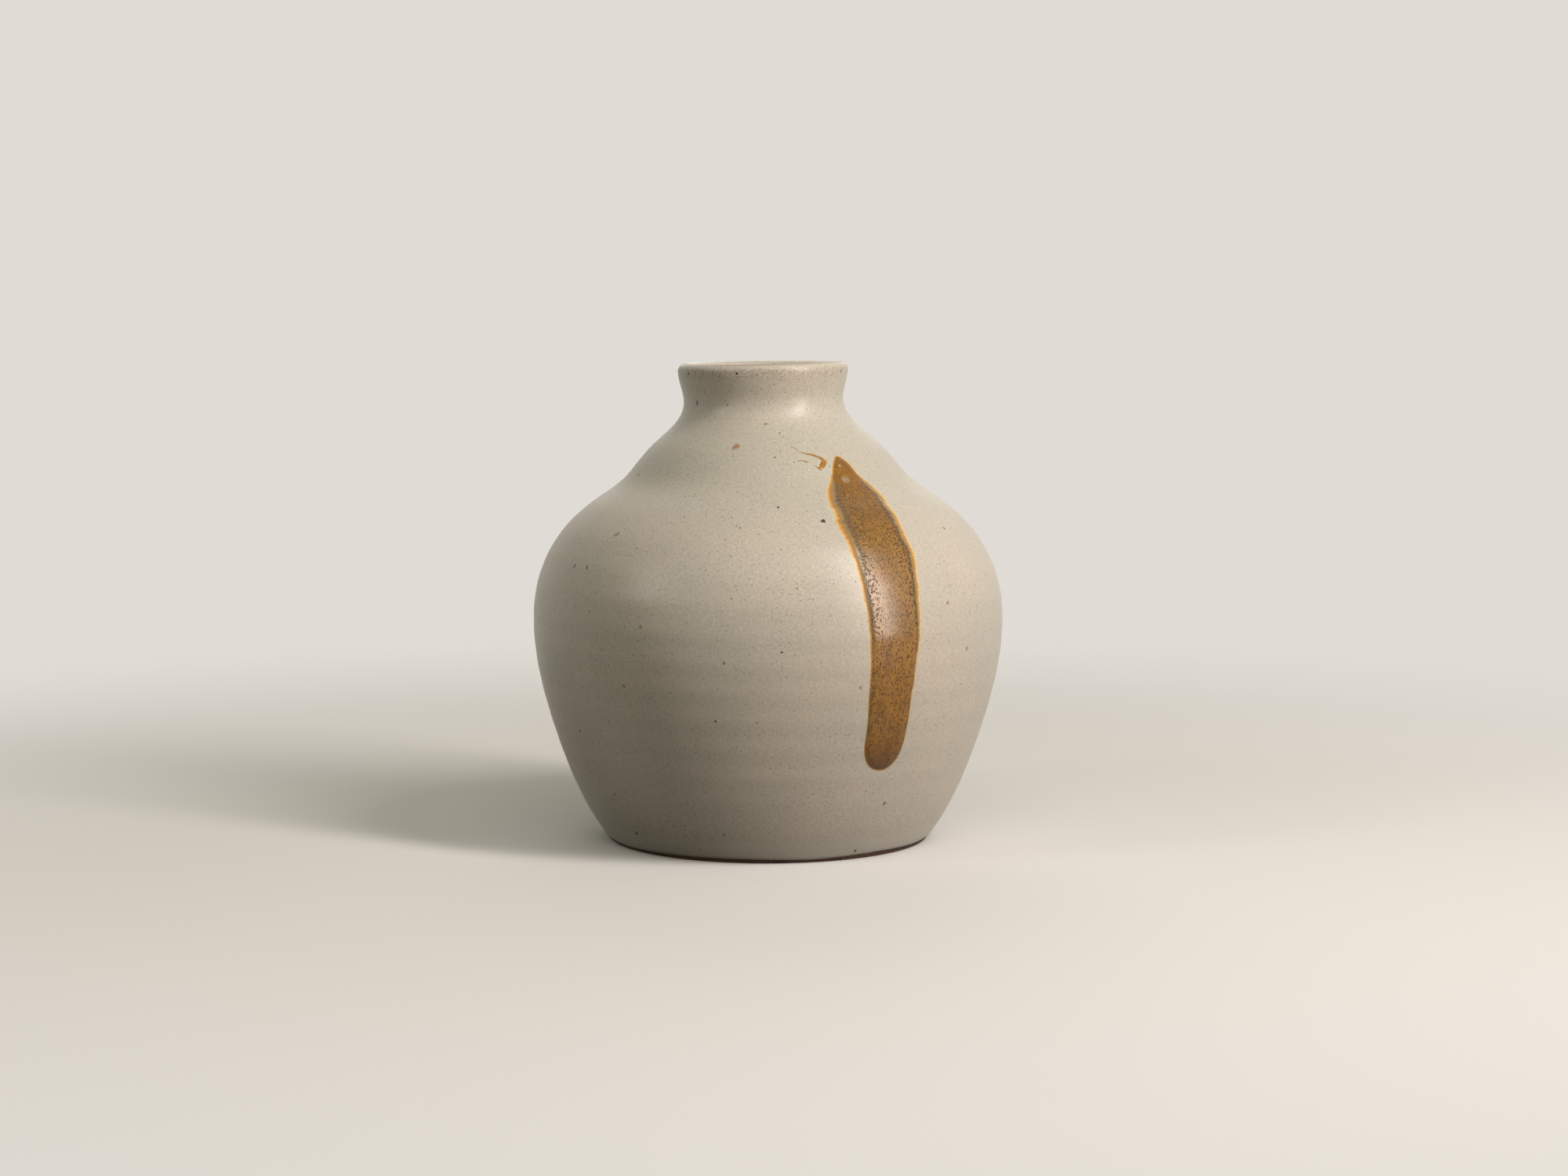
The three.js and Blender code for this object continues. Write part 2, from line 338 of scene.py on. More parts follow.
    def place(self, angle: np.ndarray, radius: np.ndarray, height: np.ndarray) -> np.ndarray:
        """Points at angles, radii and heights, moved as the neck was when it was set down.

        From the breast to the crest each point shifts along X by an eased share of neck_shift, and rises by
        the same share of its X times the tangent of rim_tilt. The lip, from lip_reach below its roll, also
        rises and falls by rim_warp twice round, as a cosine of two angles less warp_turn. It stands up by
        twice lip_rise on the left, by nothing on the right and by an even slope between.

        Args:
            angle: Angles round the pot, in radians.
            radius: Distances from the axis.
            height: Heights.

        Returns:
            Points, with X, Y and Z on the last axis.
        """
        angle, radius, height = np.broadcast_arrays(angle, radius, height)
        x = radius * np.sin(angle)
        share = smooth(self.breast_height, self.crest_height, height)
        rise = share * x * math.tan(math.radians(self.rim_tilt))
        warp = self.rim_warp * np.cos(2 * angle - math.radians(self.warp_turn))
        lean = self.lip_rise * (1 - x / self.levels[-1].radius)
        rise = rise + (warp + lean) * smooth(self.lip_height - self.lip_reach, self.crest_height, height)
        return np.stack([x + share * self.neck_shift, -radius * np.cos(angle), height + rise], -1)

    def on_outside(self, angle: np.ndarray, height: np.ndarray, lift: Any = 0.0) -> np.ndarray:
        """Points on the glazed outside, or lift off it."""
        return self.place(angle, self.outside_radius(angle, height, lift), height)

    @cached_property
    def _north(self) -> tuple[np.ndarray, np.ndarray]:
        """Map of the pot that keeps angles true.

        Returns:
            Heights, and the way up the map to each, in radians.
        """
        height = np.linspace(0, self.lip_height, self.map_steps)
        radius, slope = self.outline(height)
        step = np.hypot(1, slope) / radius
        return height, along((step[1:] + step[:-1]) / 2 * np.diff(height))

    def north(self, height: np.ndarray) -> np.ndarray:
        """Way up the map to a height, in radians: the run of arc length over radius."""
        return np.interp(height, *self._north)

    def height_at(self, north: np.ndarray) -> np.ndarray:
        """Height at a way up the map."""
        return np.interp(north, self._north[1], self._north[0])


def closed_mesh(
    name: str, rings: np.ndarray, poles: Optional[np.ndarray], **marks: np.ndarray
) -> bpy.types.Object:
    """Makes a closed smooth mesh from rings of points, each joined to the next.

    Args:
        name: Name of the piece.
        rings: Points in millimetres, as shells by rings by points by X, Y and Z.
        poles: The two points that close each shell, below its first ring and above its last. With None the
            last ring joins the first.
        marks: Values of each point, as shells by rings by points. A pole takes the mean of its ring.

    Returns:
        The object, at the origin, with its place in its mesh.
    """
    shells, count, around = rings.shape[:3]
    each = count * around + (0 if poles is None else 2)
    index = np.arange(count * around).reshape(count, around)
    lower, upper = (index, np.roll(index, -1, 0)) if poles is None else (index[:-1], index[1:])
    quads = np.stack([lower, np.roll(lower, -1, 1), np.roll(upper, -1, 1), upper], -1).reshape(-1, 4)
    faces, points = [quads], rings.reshape(shells, -1, 3)
    if poles is not None:
        points = np.concatenate([points, poles], 1)
        first, last = np.full(around, each - 2), np.full(around, each - 1)
        faces.append(np.stack([first, np.roll(index[0], -1), index[0]], -1))
        faces.append(np.stack([last, index[-1], np.roll(index[-1], -1)], -1))
    corners = [points[0][part] for part in faces]
    fans = [(c[:, 0], c[:, i], c[:, i + 1]) for c in corners for i in range(1, c.shape[1] - 1)]
    volume = sum(np.einsum("ij,ij->", a, np.cross(b, c)) for a, b, c in fans)
    if volume < 0:
        faces = [part[:, ::-1] for part in faces]
    starts = each * np.arange(shells)
    lists = [(part[None] + starts[:, None, None]).reshape(-1, part.shape[1]).tolist() for part in faces]
    mesh = bpy.data.meshes.new(name)
    mesh.from_pydata((points.reshape(-1, 3) * METRE).tolist(), [], sum(lists, []))
    mesh.shade_smooth()
    for mark, values in marks.items():
        spread = np.broadcast_to(values, rings.shape[:3]).reshape(shells, -1)
        if poles is not None:
            ends = [spread[:, :around].mean(1, keepdims=True), spread[:, -around:].mean(1, keepdims=True)]
            spread = np.concatenate([spread, *ends], 1)
        layer = mesh.attributes.new(mark, "FLOAT", "POINT")
        layer.data.foreach_set("value", spread.astype(np.float32).ravel())
    piece = bpy.data.objects.new(name, mesh)
    bpy.context.scene.collection.objects.link(piece)
    return piece


def settle(piece: bpy.types.Object, material: bpy.types.Material, slot: str, *nodes: str) -> None:
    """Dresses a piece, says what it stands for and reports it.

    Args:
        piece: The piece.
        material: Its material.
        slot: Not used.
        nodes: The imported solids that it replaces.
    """
    piece.data.materials.append(material)
    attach(piece, BODY)
    if nodes:
        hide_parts(*nodes)
    log.info("%s: %d faces, for %s", piece.name, len(piece.data.polygons), ", ".join(nodes) or "no solid")


def add_node(
    tree: Tree,
    kind: str,
    inputs: Optional[dict[Any, Any]] = None,
    output: Any = 0,
    stops: Stops = (),
    **settings: Any,
) -> Optional[Socket]:
    """Adds one node to a material, with its settings, values and links.

    Args:
        tree: The material's node tree.
        kind: Blender's name for the node.
        inputs: What each input takes: a value, a hex colour, or another node's output to link.
        output: The output that is handed back, by number or name, or None for a node without one.
        stops: Places and colours of a colour ramp.
        settings: The node's own settings.

    Returns:
        The output socket, if the node has one.
    """
    made = tree.nodes.new(kind)
    for name, value in settings.items():
        setattr(made, name, value)
    for key, value in (inputs or {}).items():
        if isinstance(value, Socket):
            tree.links.new(value, made.inputs[key])
        else:
            made.inputs[key].default_value = linear(value) if isinstance(value, str) else value
    if stops:
        ramp = made.color_ramp.elements
        while len(ramp) < len(stops):
            ramp.new(1.0)
        for element, (place, colour) in zip(ramp, stops):
            element.position = place
            element.color = linear(colour)
    return None if output is None else made.outputs[output]


def new_material(name: str) -> tuple[bpy.types.Material, Tree]:
    """Starts a material.

    Args:
        name: Its name.

    Returns:
        The material and its empty node tree.
    """
    material = bpy.data.materials.new(name)
    material.use_nodes = True
    material.node_tree.nodes.clear()
    return material, material.node_tree


def sized(place: Socket, size: float, **inputs: float) -> dict[str, Any]:
    """Inputs of a texture at a place: its own ones, and a scale that makes its cells as wide as a size."""
    return {"Vector": place, "Scale": 1 / (size * METRE), **inputs}


class Span(NamedTuple):
    """A run of a measure from low to high, over which a factor goes from its start to its end."""

    low: float
    high: float
    start: float = 0.0
    end: float = 1.0

    def over(self, measure: Socket, unit: float = 1.0) -> dict[str, Any]:
        """Inputs of a range node.

        Args:
            measure: Socket of the measure.
            unit: Size of the span's unit in the measure's own.

        Returns:
            The inputs by name.
        """
        run = {"Value": measure, "From Min": self.low * unit, "From Max": self.high * unit}
        return {**run, "To Min": self.start, "To Max": self.end}


@dataclass(frozen=True)
class Dots:
    """Scattered soft dots, one to a cell of the space that the surface cuts through, of which a share shows.

    The spacing is the mean distance between cells, and a dot reaches a share of it. A dot is at full strength
    in its core, which is a share of its reach, and eases to nothing from there.
    """

    spacing: float
    reach: float
    strength: float
    core: float = 0.3

    def factor(self, tree: Tree, place: Socket, share: Any) -> Socket:
        """Adds the dots to a material.

        Args:
            tree: Node tree that the pattern goes into.
            place: Socket of the point that is coloured.
            share: Share of the cells that show a dot, as a number or a socket.

        Returns:
            Socket of the dots' factor.
        """
        cell = add_node(tree, "ShaderNodeTexVoronoi", sized(place, self.spacing))
        chance = add_node(tree, "ShaderNodeSeparateColor", {0: cell.node.outputs["Color"]})
        shown = add_node(tree, "ShaderNodeMath", {0: chance, 1: share}, operation="LESS_THAN")
        fade = Span(self.core * self.reach, self.reach, self.strength, 0.0)
        dot = add_node(tree, "ShaderNodeMapRange", fade.over(cell), **EASED)
        return add_node(tree, "ShaderNodeMath", {0: dot, 1: shown}, operation="MULTIPLY")


@dataclass(frozen=True)
class SatinGlaze:
    """Dolomite glaze, dipped and fired in reduction: a satin warm white over stoneware.

    Iron from the clay comes through it as fine pepper. It breaks to brown under the lip, where it drew thin,
    with more freckles on the left as painted shade. It is greyer and greener in the hollow under the neck,
    partly from the glaze's pooling and partly as painted shade, and paler and plainer in a band above the
    foot. The brown line on the crest's front is partly the glaze breaking and partly painted shade. Spans of
    the hollow's shade, the band and the sides are in millimetres, and so are those of the freckles and the
    crest's line, which count from the lip's crest. Shades, shares and covers are spans of their noise.
    """

    name: str = "satin_dolomite_glaze"
    clouds: Stops = ((0.32, "#CBC5B8"), (0.68, "#D3C9BA"))
    # Greyer, greener colour of the hollow under the neck: partly the glaze's pooling, partly painted shade
    pooled_shade: str = "#C4C1B2"
    pepper: str = "#7A7260"
    thin: str = "#8C715A"
    # Brown of the crest's line: partly the glaze breaking, partly painted shade
    crest: str = "#80634C"
    # Paler colour of a band above the foot
    thick: str = "#D6D2C5"
    roughness: float = 0.36
    mottle_size: float = 26.0
    # Heights where the hollow's painted shade and pooling start and end
    pool_shade_start: Span = Span(90.0, 102.0, 0.0, 0.55)
    pool_shade_end: Span = Span(108.0, 121.0, 1.0, 0.15)
    grain_size: float = 0.6
    grain_shade: Span = Span(0.3, 0.7, 0.85, 1.08)
    flock_size: float = 11.0
    flock_share: Span = Span(0.42, 0.66, 0.2, 0.95)
    # Real pepper is finer than this, about 0.5 mm apart, and is drawn as coarse as it needs to show.
    fine_pepper: Dots = Dots(spacing=1.15, reach=0.24, strength=0.75)
    coarse_pepper: Dots = Dots(spacing=3.2, reach=0.1, strength=1.0)
    pale_foot_band: Span = Span(4.5, 7.5, 0.55, 0.0)
    freckle_start: Span = Span(-6.8, -3.3)
    freckle_end: Span = Span(-2.9, -2.2, 1.0, 0.0)
    # More freckles on the left than on the right: painted shade
    freckle_shade_side: Span = Span(-12.0, 20.0, 1.0, 0.5)
    freckle_size: float = 0.55
    freckle_cover: Span = Span(0.47, 0.61, 0.06, 0.68)
    # Brown line along the crest, kept to its front: partly the glaze breaking, partly painted shade
    line_middle: float = -0.55
    line_half: Span = Span(0.55, 0.8, 0.8, 0.0)
    crest_shade_side: Span = Span(-8.0, 4.0, 1.0, 0.12)
    peel_size: float = 1.1
    peel_depth: float = 0.02
    peel_strength: float = 0.35

    def colour(self, tree: Tree) -> Socket:
        """Colour of the glaze from its place on the pot alone, so that pieces that meet in it match.

        Args:
            tree: Node tree that the pattern goes into.

        Returns:
            Socket that gives the colour.
        """
        place = add_node(tree, "ShaderNodeTexCoord", output="Object")
        level = add_node(tree, "ShaderNodeSeparateXYZ", {0: place}, output="Z")
        cloud = add_node(tree, "ShaderNodeTexNoise", sized(place, self.mottle_size, Detail=3.0))
        base = add_node(tree, "ShaderNodeValToRGB", {0: cloud}, stops=self.clouds)
        # Painted shade in the hollow under the neck, partly also the glaze's pooling there
        start = add_node(tree, "ShaderNodeMapRange", self.pool_shade_start.over(level, METRE), **EASED)
        end = add_node(tree, "ShaderNodeMapRange", self.pool_shade_end.over(level, METRE), **EASED)
        pool_shade = add_node(tree, "ShaderNodeMath", {0: start, 1: end}, operation="MULTIPLY")
        base = add_node(tree, "ShaderNodeMix", {FACTOR: pool_shade, UNDER: base, OVER: self.pooled_shade}, **COLOUR_MIX)
        grain = add_node(tree, "ShaderNodeTexNoise", sized(place, self.grain_size, Detail=4.0))
        shade = add_node(tree, "ShaderNodeMapRange", self.grain_shade.over(grain))
        base = add_node(tree, "ShaderNodeMix", {FACTOR: 1.0, UNDER: base, OVER: shade}, **SHADING)
        flock = add_node(tree, "ShaderNodeTexNoise", sized(place, self.flock_size, Detail=1.0))
        crowd = add_node(tree, "ShaderNodeMapRange", self.flock_share.over(flock))
        fine, coarse = (dots.factor(tree, place, crowd) for dots in (self.fine_pepper, self.coarse_pepper))
        both = add_node(tree, "ShaderNodeMath", {0: fine, 1: coarse}, operation="MAXIMUM")
        base = add_node(tree, "ShaderNodeMix", {FACTOR: both, UNDER: base, OVER: self.pepper}, **COLOUR_MIX)
        # Paler, plainer band above the foot, by height
        band = add_node(tree, "ShaderNodeMapRange", self.pale_foot_band.over(level, METRE), **EASED)
        return add_node(tree, "ShaderNodeMix", {FACTOR: band, UNDER: base, OVER: self.thick}, **COLOUR_MIX)

    def bump(self, tree: Tree) -> Socket:
        """Faint orange peel of a satin glaze.

        Args:
            tree: Node tree that the pattern goes into.

        Returns:
            Socket of the normal.
        """
        place = add_node(tree, "ShaderNodeTexCoord", output="Object")
        peel = add_node(tree, "ShaderNodeTexNoise", sized(place, self.peel_size, Detail=2.0))
        relief = {"Height": peel, "Strength": self.peel_strength, "Distance": self.peel_depth * METRE}
        return add_node(tree, "ShaderNodeBump", relief, output="Normal")

    def lip_break(self, tree: Tree, colour: Socket) -> Socket:
        """Brown freckles under the lip's roll, more on its left as painted shade, and a brown line on the
        crest's front that is partly painted shade.

        Args:
            tree: Node tree that the pattern goes into.
            colour: Socket of the glaze's own colour.

        Returns:
            Socket of the colour with both laid over it.
        """
        place = add_node(tree, "ShaderNodeTexCoord", output="Object")
        across = add_node(tree, "ShaderNodeSeparateXYZ", {0: place}, output="X")
        past = add_node(tree, "ShaderNodeAttribute", output="Fac", attribute_name="past_crest")
        cover = add_node(tree, "ShaderNodeMapRange", self.freckle_start.over(past), **EASED)
        end = add_node(tree, "ShaderNodeMapRange", self.freckle_end.over(past), **EASED)
        # Painted shade: the freckles thin out towards the lit right
        side = add_node(tree, "ShaderNodeMapRange", self.freckle_shade_side.over(across, METRE))
        grain = add_node(tree, "ShaderNodeTexNoise", sized(place, self.freckle_size, Detail=3.0))
        freckle = add_node(tree, "ShaderNodeMapRange", self.freckle_cover.over(grain))
        for part in (end, side, freckle):
            cover = add_node(tree, "ShaderNodeMath", {0: cover, 1: part}, operation="MULTIPLY")
        base = add_node(tree, "ShaderNodeMix", {FACTOR: cover, UNDER: colour, OVER: self.thin}, **COLOUR_MIX)
        off = add_node(tree, "ShaderNodeMath", {0: past, 1: self.line_middle}, operation="SUBTRACT")
        off = add_node(tree, "ShaderNodeMath", {0: off}, operation="ABSOLUTE")
        line = add_node(tree, "ShaderNodeMapRange", self.line_half.over(off), **EASED)
        # Painted shade: the line is kept to the crest's front
        near = add_node(tree, "ShaderNodeMapRange", self.crest_shade_side.over(across.node.outputs["Y"], METRE))
        line = add_node(tree, "ShaderNodeMath", {0: line, 1: near}, operation="MULTIPLY")
        return add_node(tree, "ShaderNodeMix", {FACTOR: line, UNDER: base, OVER: self.crest}, **COLOUR_MIX)

    def material(self) -> bpy.types.Material:
        """Glaze of the dipped outside, with the iron that bled into it beside the brushed marks.

        Returns:
            The material.
        """
        material, tree = new_material(self.name)
        bled = BrushedIron().bled(tree, self.lip_break(tree, self.colour(tree)))
        look = {"Base Color": bled, "Roughness": self.roughness, "IOR": GLAZE_IOR, "Normal": self.bump(tree)}
        shader = add_node(tree, "ShaderNodeBsdfPrincipled", look)
        add_node(tree, "ShaderNodeOutputMaterial", {"Surface": shader}, output=None)
        return material


@dataclass(frozen=True)
class LinerGlaze:
    """The same dolomite glaze poured inside, where it lies thicker, a little greyer and glossier."""

    name: str = "poured_liner_glaze"
    clouds: Stops = ((0.3, "#C0BAA8"), (0.7, "#CFC8B6"))
    mottle_size: float = 18.0
    grain_size: float = 0.8
    grain_shade: Span = Span(0.3, 0.7, 0.9, 1.05)
    grain_depth: float = 0.02
    grain_strength: float = 0.3
    roughness: float = 0.3

    def material(self) -> bpy.types.Material:
        """Pale glaze clouded at the size of a thumb, with a fine grain.

        Returns:
            The material.
        """
        material, tree = new_material(self.name)
        place = add_node(tree, "ShaderNodeTexCoord", output="Object")
        cloud = add_node(tree, "ShaderNodeTexNoise", sized(place, self.mottle_size, Detail=3.0))
        base = add_node(tree, "ShaderNodeValToRGB", {0: cloud}, stops=self.clouds)
        grain = add_node(tree, "ShaderNodeTexNoise", sized(place, self.grain_size, Detail=4.0))
        shade = add_node(tree, "ShaderNodeMapRange", self.grain_shade.over(grain))
        colour = add_node(tree, "ShaderNodeMix", {FACTOR: 1.0, UNDER: base, OVER: shade}, **SHADING)
        relief = {"Height": grain, "Strength": self.grain_strength, "Distance": self.grain_depth * METRE}
        normal = add_node(tree, "ShaderNodeBump", relief, output="Normal")
        look = {"Base Color": colour, "Roughness": self.roughness, "IOR": GLAZE_IOR, "Normal": normal}
        shader = add_node(tree, "ShaderNodeBsdfPrincipled", look)
        add_node(tree, "ShaderNodeOutputMaterial", {"Surface": shader}, output=None)
        return material


@dataclass(frozen=True)
class BareClay:
    """Stoneware fired in reduction and left bare: dull red-brown clay with pale grog, turned on the wheel,
    darkened as painted shadow where the foot meets the floor.
    """

    name: str = "bare_stoneware_foot_shade"
    # Colours of the clay's clouds, darker than the clay alone as painted shadow at the foot
    clouds: Stops = ((0.35, "#3E2A1F"), (0.65, "#5A3F31"))
    grog: str = "#9A7C63"
    mottle_size: float = 9.0
    grog_size: float = 0.9
    grog_share: float = 0.22
    grog_grain: Span = Span(0.12, 0.3, 0.8, 0.0)
    grit_size: float = 0.5
    groove_pitch: float = 0.8
    groove_wander: float = 1.2
    relief_depth: float = 0.08
    relief_strength: float = 0.6
    roughness: float = 0.86

    def material(self) -> bpy.types.Material:
        """Clay clouded by the fire and darkened as painted shadow at the foot, with grog showing as pale
        grains and a fine roughness from turning.

        A ring texture makes a ring in each tenth of pi of its cell, so its cell is ten pitches over pi.

        Returns:
            The material.
        """
        material, tree = new_material(self.name)
        place = add_node(tree, "ShaderNodeTexCoord", output="Object")
        cloud = add_node(tree, "ShaderNodeTexNoise", sized(place, self.mottle_size, Detail=5.0))
        base = add_node(tree, "ShaderNodeValToRGB", {0: cloud}, stops=self.clouds)
        cell = add_node(tree, "ShaderNodeTexVoronoi", sized(place, self.grog_size))
        chance = add_node(tree, "ShaderNodeSeparateColor", {0: cell.node.outputs["Color"]})
        shown = add_node(tree, "ShaderNodeMath", {0: chance, 1: self.grog_share}, operation="LESS_THAN")
        grain = add_node(tree, "ShaderNodeMapRange", self.grog_grain.over(cell))
        grog = add_node(tree, "ShaderNodeMath", {0: grain, 1: shown}, operation="MULTIPLY")
        colour = add_node(tree, "ShaderNodeMix", {FACTOR: grog, UNDER: base, OVER: self.grog}, **COLOUR_MIX)
        grit = add_node(tree, "ShaderNodeTexNoise", sized(place, self.grit_size, Detail=5.0))
        rings = sized(place, self.groove_pitch * 10 / math.pi, Distortion=self.groove_wander, Detail=1.0)
        groove = add_node(tree, "ShaderNodeTexWave", rings, wave_type="RINGS", rings_direction="Z")
        height = add_node(tree, "ShaderNodeMath", {0: grit, 1: groove}, operation="ADD")
        relief = {"Height": height, "Strength": self.relief_strength, "Distance": self.relief_depth * METRE}
        normal = add_node(tree, "ShaderNodeBump", relief, output="Normal")
        look = {"Base Color": colour, "Roughness": self.roughness, "Normal": normal}
        shader = add_node(tree, "ShaderNodeBsdfPrincipled", look)
        add_node(tree, "ShaderNodeOutputMaterial", {"Surface": shader}, output=None)
        return material


class Patch(NamedTuple):
    """A ragged round patch on the stripe: its angle in degrees, its height, its radius and its colour."""

    angle: float
    height: float
    reach: float
    colour: str


@dataclass(frozen=True)
class BrushedIron:
    """Iron slip brushed over the glaze before firing: golden brown, crowded with fine dark crystals.

    It bled into the pale glaze along its edges as a feathered orange fringe, with an olive line inside the
    fringe where the two glazes mixed. An attribute of the mesh says how far a point lies inside the mark, in
    widths of its fringe. Spans of that depth are in such widths, spans of height in millimetres, the thick
    side's in degrees, and shades and covers are spans of their noise.
    """

    name: str = "brushed_iron_glaze"
    roughness: float = 0.25
    # The fringe: how it frays, and its colours from outside inwards
    feather_size: float = 0.6
    feather_draw: tuple[float, float, float] = (0.35, 0.35, 1.0)
    wander_size: float = 4.0
    fray: Span = Span(0.6, 1.4, -0.28, 0.28)
    fringe_start: Span = Span(-0.5, -0.02)
    bled_stops: Stops = (
        (-0.35, "#DCD0B0"),
        (-0.15, "#DFC68C"),
        (0.0, "#D9B06A"),
        (0.12, "#CC9850"),
        (0.3, "#B9813C"),
        (0.45, "#AC8748"),
        (0.65, "#98845A"),
        (0.9, "#7F683F"),
        (1.2, "#745830"),
        (1.8, "#7A5C34"),
    )
    # The ground: its colours over height, its clouds and streaks, a pale haze, and a darker tone towards its
    # foot
    body_stops: Stops = (
        (25.0, "#83590C"),
        (38.0, "#96671F"),
        (56.0, "#9D7132"),
        (66.0, "#9C733B"),
        (78.0, "#9F773F"),
        (88.0, "#946A22"),
        (94.0, "#8B6112"),
        (97.5, "#8F6109"),
        (99.5, "#916208"),
        (106.0, "#906006"),
    )
    cloud_size: float = 4.5
    streak_size: float = 0.9
    streak_draw: tuple[float, float, float] = (1.0, 1.0, 0.14)
    ground_shade: Span = Span(0.7, 1.3, 0.82, 1.16)
    bloom: str = "#7D6446"
    bloom_size: float = 7.0
    bloom_cover: Span = Span(0.52, 0.66, 0.0, 0.22)
    foot_dark: str = "#54340A"
    foot_dark_height: Span = Span(26.2, 34.5, 0.75, 0.0)
    # The crystals, which crowd at the edges and are fewer at the tip
    crystal: str = "#4D2D07"
    crystal_draw: tuple[float, float, float] = (1.0, 1.0, 0.65)
    # Real crystals lie about 0.35 mm apart, and are drawn as coarse as they need to show.
    crystal_dots: Dots = Dots(spacing=0.56, reach=0.58, strength=0.97)
    crystal_share: float = 0.88
    clot_dots: Dots = Dots(spacing=2.6, reach=0.16, strength=0.95)
    clot_share: float = 0.5
    crowd: Span = Span(1.6, 3.4, 1.2, 0.88)
    plain_tip: Span = Span(96.5, 100.5, 1.0, 0.3)
    grain_size: float = 0.5
    grain_shade: Span = Span(0.35, 0.65, 0.9, 1.18)
    # A pale scum and a pink blister near the tip
    patches: tuple[Patch, ...] = (Patch(33.4, 99.9, 1.25, "#A8977A"), Patch(33.9, 103.4, 0.42, "#CFA68F"))
    patch_lift: float = 0.17
    ragged_size: float = 0.9
    ragged_reach: float = 1.2
    patch_fade: Span = Span(1.2, 1.9, 1.0, 0.0)
    patch_grain: float = 0.55
    patch_cover: Span = Span(0.4, 0.58, 0.3, 0.85)
    # The body covers the fringe from this depth, sooner at the tip and the foot, and crystals pit its left
    tip_depth: Span = Span(99.0, 101.5, 0.0, 1.6)
    foot_depth: Span = Span(50.0, 66.0, 1.3, 0.0)
    body_start: Span = Span(0.95, 1.9)
    crystal_start: Span = Span(0.6, 1.0)
    thick_side: Span = Span(26.2, 28.2, 1.0, 0.1)
    pit_depth: float = 0.07
    pit_strength: float = 0.72
    # The thin flicks: their clouds, and an orange rim where they thin
    thin_stops: Stops = ((0.3, "#98691A"), (0.5, "#B07B26"), (0.7, "#C48B33"))
    thin_size: float = 1.1
    rim: str = "#B98A3E"
    rim_cover: Span = Span(0.05, 0.4, 0.8, 0.0)

    def depth(self, tree: Tree) -> Socket:
        """How far a point lies inside the mark, frayed by a noise drawn out sideways, as wet glaze feathers.

        Args:
            tree: Node tree that the pattern goes into.

        Returns:
            Socket of the depth.
        """
        place = add_node(tree, "ShaderNodeTexCoord", output="Object")
        drawn = add_node(tree, "ShaderNodeMapping", {"Vector": place, "Scale": self.feather_draw})
        feather = add_node(tree, "ShaderNodeTexNoise", sized(drawn, self.feather_size, Detail=2.0))
        wander = add_node(tree, "ShaderNodeTexNoise", sized(place, self.wander_size, Detail=1.0))
        both = add_node(tree, "ShaderNodeMath", {0: feather, 1: wander}, operation="ADD")
        shift = add_node(tree, "ShaderNodeMapRange", self.fray.over(both))
        inside = add_node(tree, "ShaderNodeAttribute", output="Fac", attribute_name="iron_depth")
        return add_node(tree, "ShaderNodeMath", {0: inside, 1: shift}, operation="ADD")

    def ramp(self, tree: Tree, value: Socket, stops: Stops, unit: float) -> Socket:
        """Colours laid out over a value.

        Args:
            tree: Node tree that the ramp goes into.
            value: Socket of the value.
            stops: Values and their colours, rising.
            unit: Size of the stops' unit in the value's own.

        Returns:
            Socket of the colour.
        """
        low, high = stops[0][0], stops[-1][0]
        share = add_node(tree, "ShaderNodeMapRange", Span(low, high).over(value, unit))
        shares = tuple(((at - low) / (high - low), colour) for at, colour in stops)
        return add_node(tree, "ShaderNodeValToRGB", {0: share}, stops=shares)

    def height(self, tree: Tree) -> Socket:
        """Height of a point, in metres."""
        place = add_node(tree, "ShaderNodeTexCoord", output="Object")
        return add_node(tree, "ShaderNodeSeparateXYZ", {0: place}, output="Z")

    def bled(self, tree: Tree, glaze: Socket) -> Socket:
        """Lays the fringe over the glaze where the iron reached.

        Args:
            tree: Node tree that the fringe goes into.
            glaze: Socket of the glaze's colour.

        Returns:
            Socket of the colour of both.
        """
        depth = self.depth(tree)
        cover = add_node(tree, "ShaderNodeMapRange", self.fringe_start.over(depth), **EASED)
        fringe = self.ramp(tree, depth, self.bled_stops, 1.0)
        return add_node(tree, "ShaderNodeMix", {FACTOR: cover, UNDER: glaze, OVER: fringe}, **COLOUR_MIX)

    def patch_factor(self, tree: Tree, patch: Patch) -> Socket:
        """Factor of a ragged round patch, whose edge a noise moves by up to ragged_reach times its radius.

        Args:
            tree: Node tree that the patch goes into.
            patch: The patch.

        Returns:
            Socket of the factor.
        """
        angle, height = np.radians(patch.angle), np.float64(patch.height)
        middle = ThrownForm().on_outside(angle, height, self.patch_lift) * METRE
        reach = patch.reach * METRE
        place = add_node(tree, "ShaderNodeTexCoord", output="Object")
        ends = {0: place, 1: tuple(middle)}
        away = add_node(tree, "ShaderNodeVectorMath", ends, output="Value", operation="DISTANCE")
        ragged = add_node(tree, "ShaderNodeTexNoise", sized(place, self.ragged_size, Detail=2.0))
        terms = {0: ragged, 1: self.ragged_reach * reach, 2: away}
        drift = add_node(tree, "ShaderNodeMath", terms, operation="MULTIPLY_ADD")
        within = add_node(tree, "ShaderNodeMapRange", self.patch_fade.over(drift, reach), **EASED)
        grain = add_node(tree, "ShaderNodeTexNoise", sized(place, self.patch_grain, Detail=1.0))
        cover = add_node(tree, "ShaderNodeMapRange", self.patch_cover.over(grain))
        return add_node(tree, "ShaderNodeMath", {0: within, 1: cover}, operation="MULTIPLY")

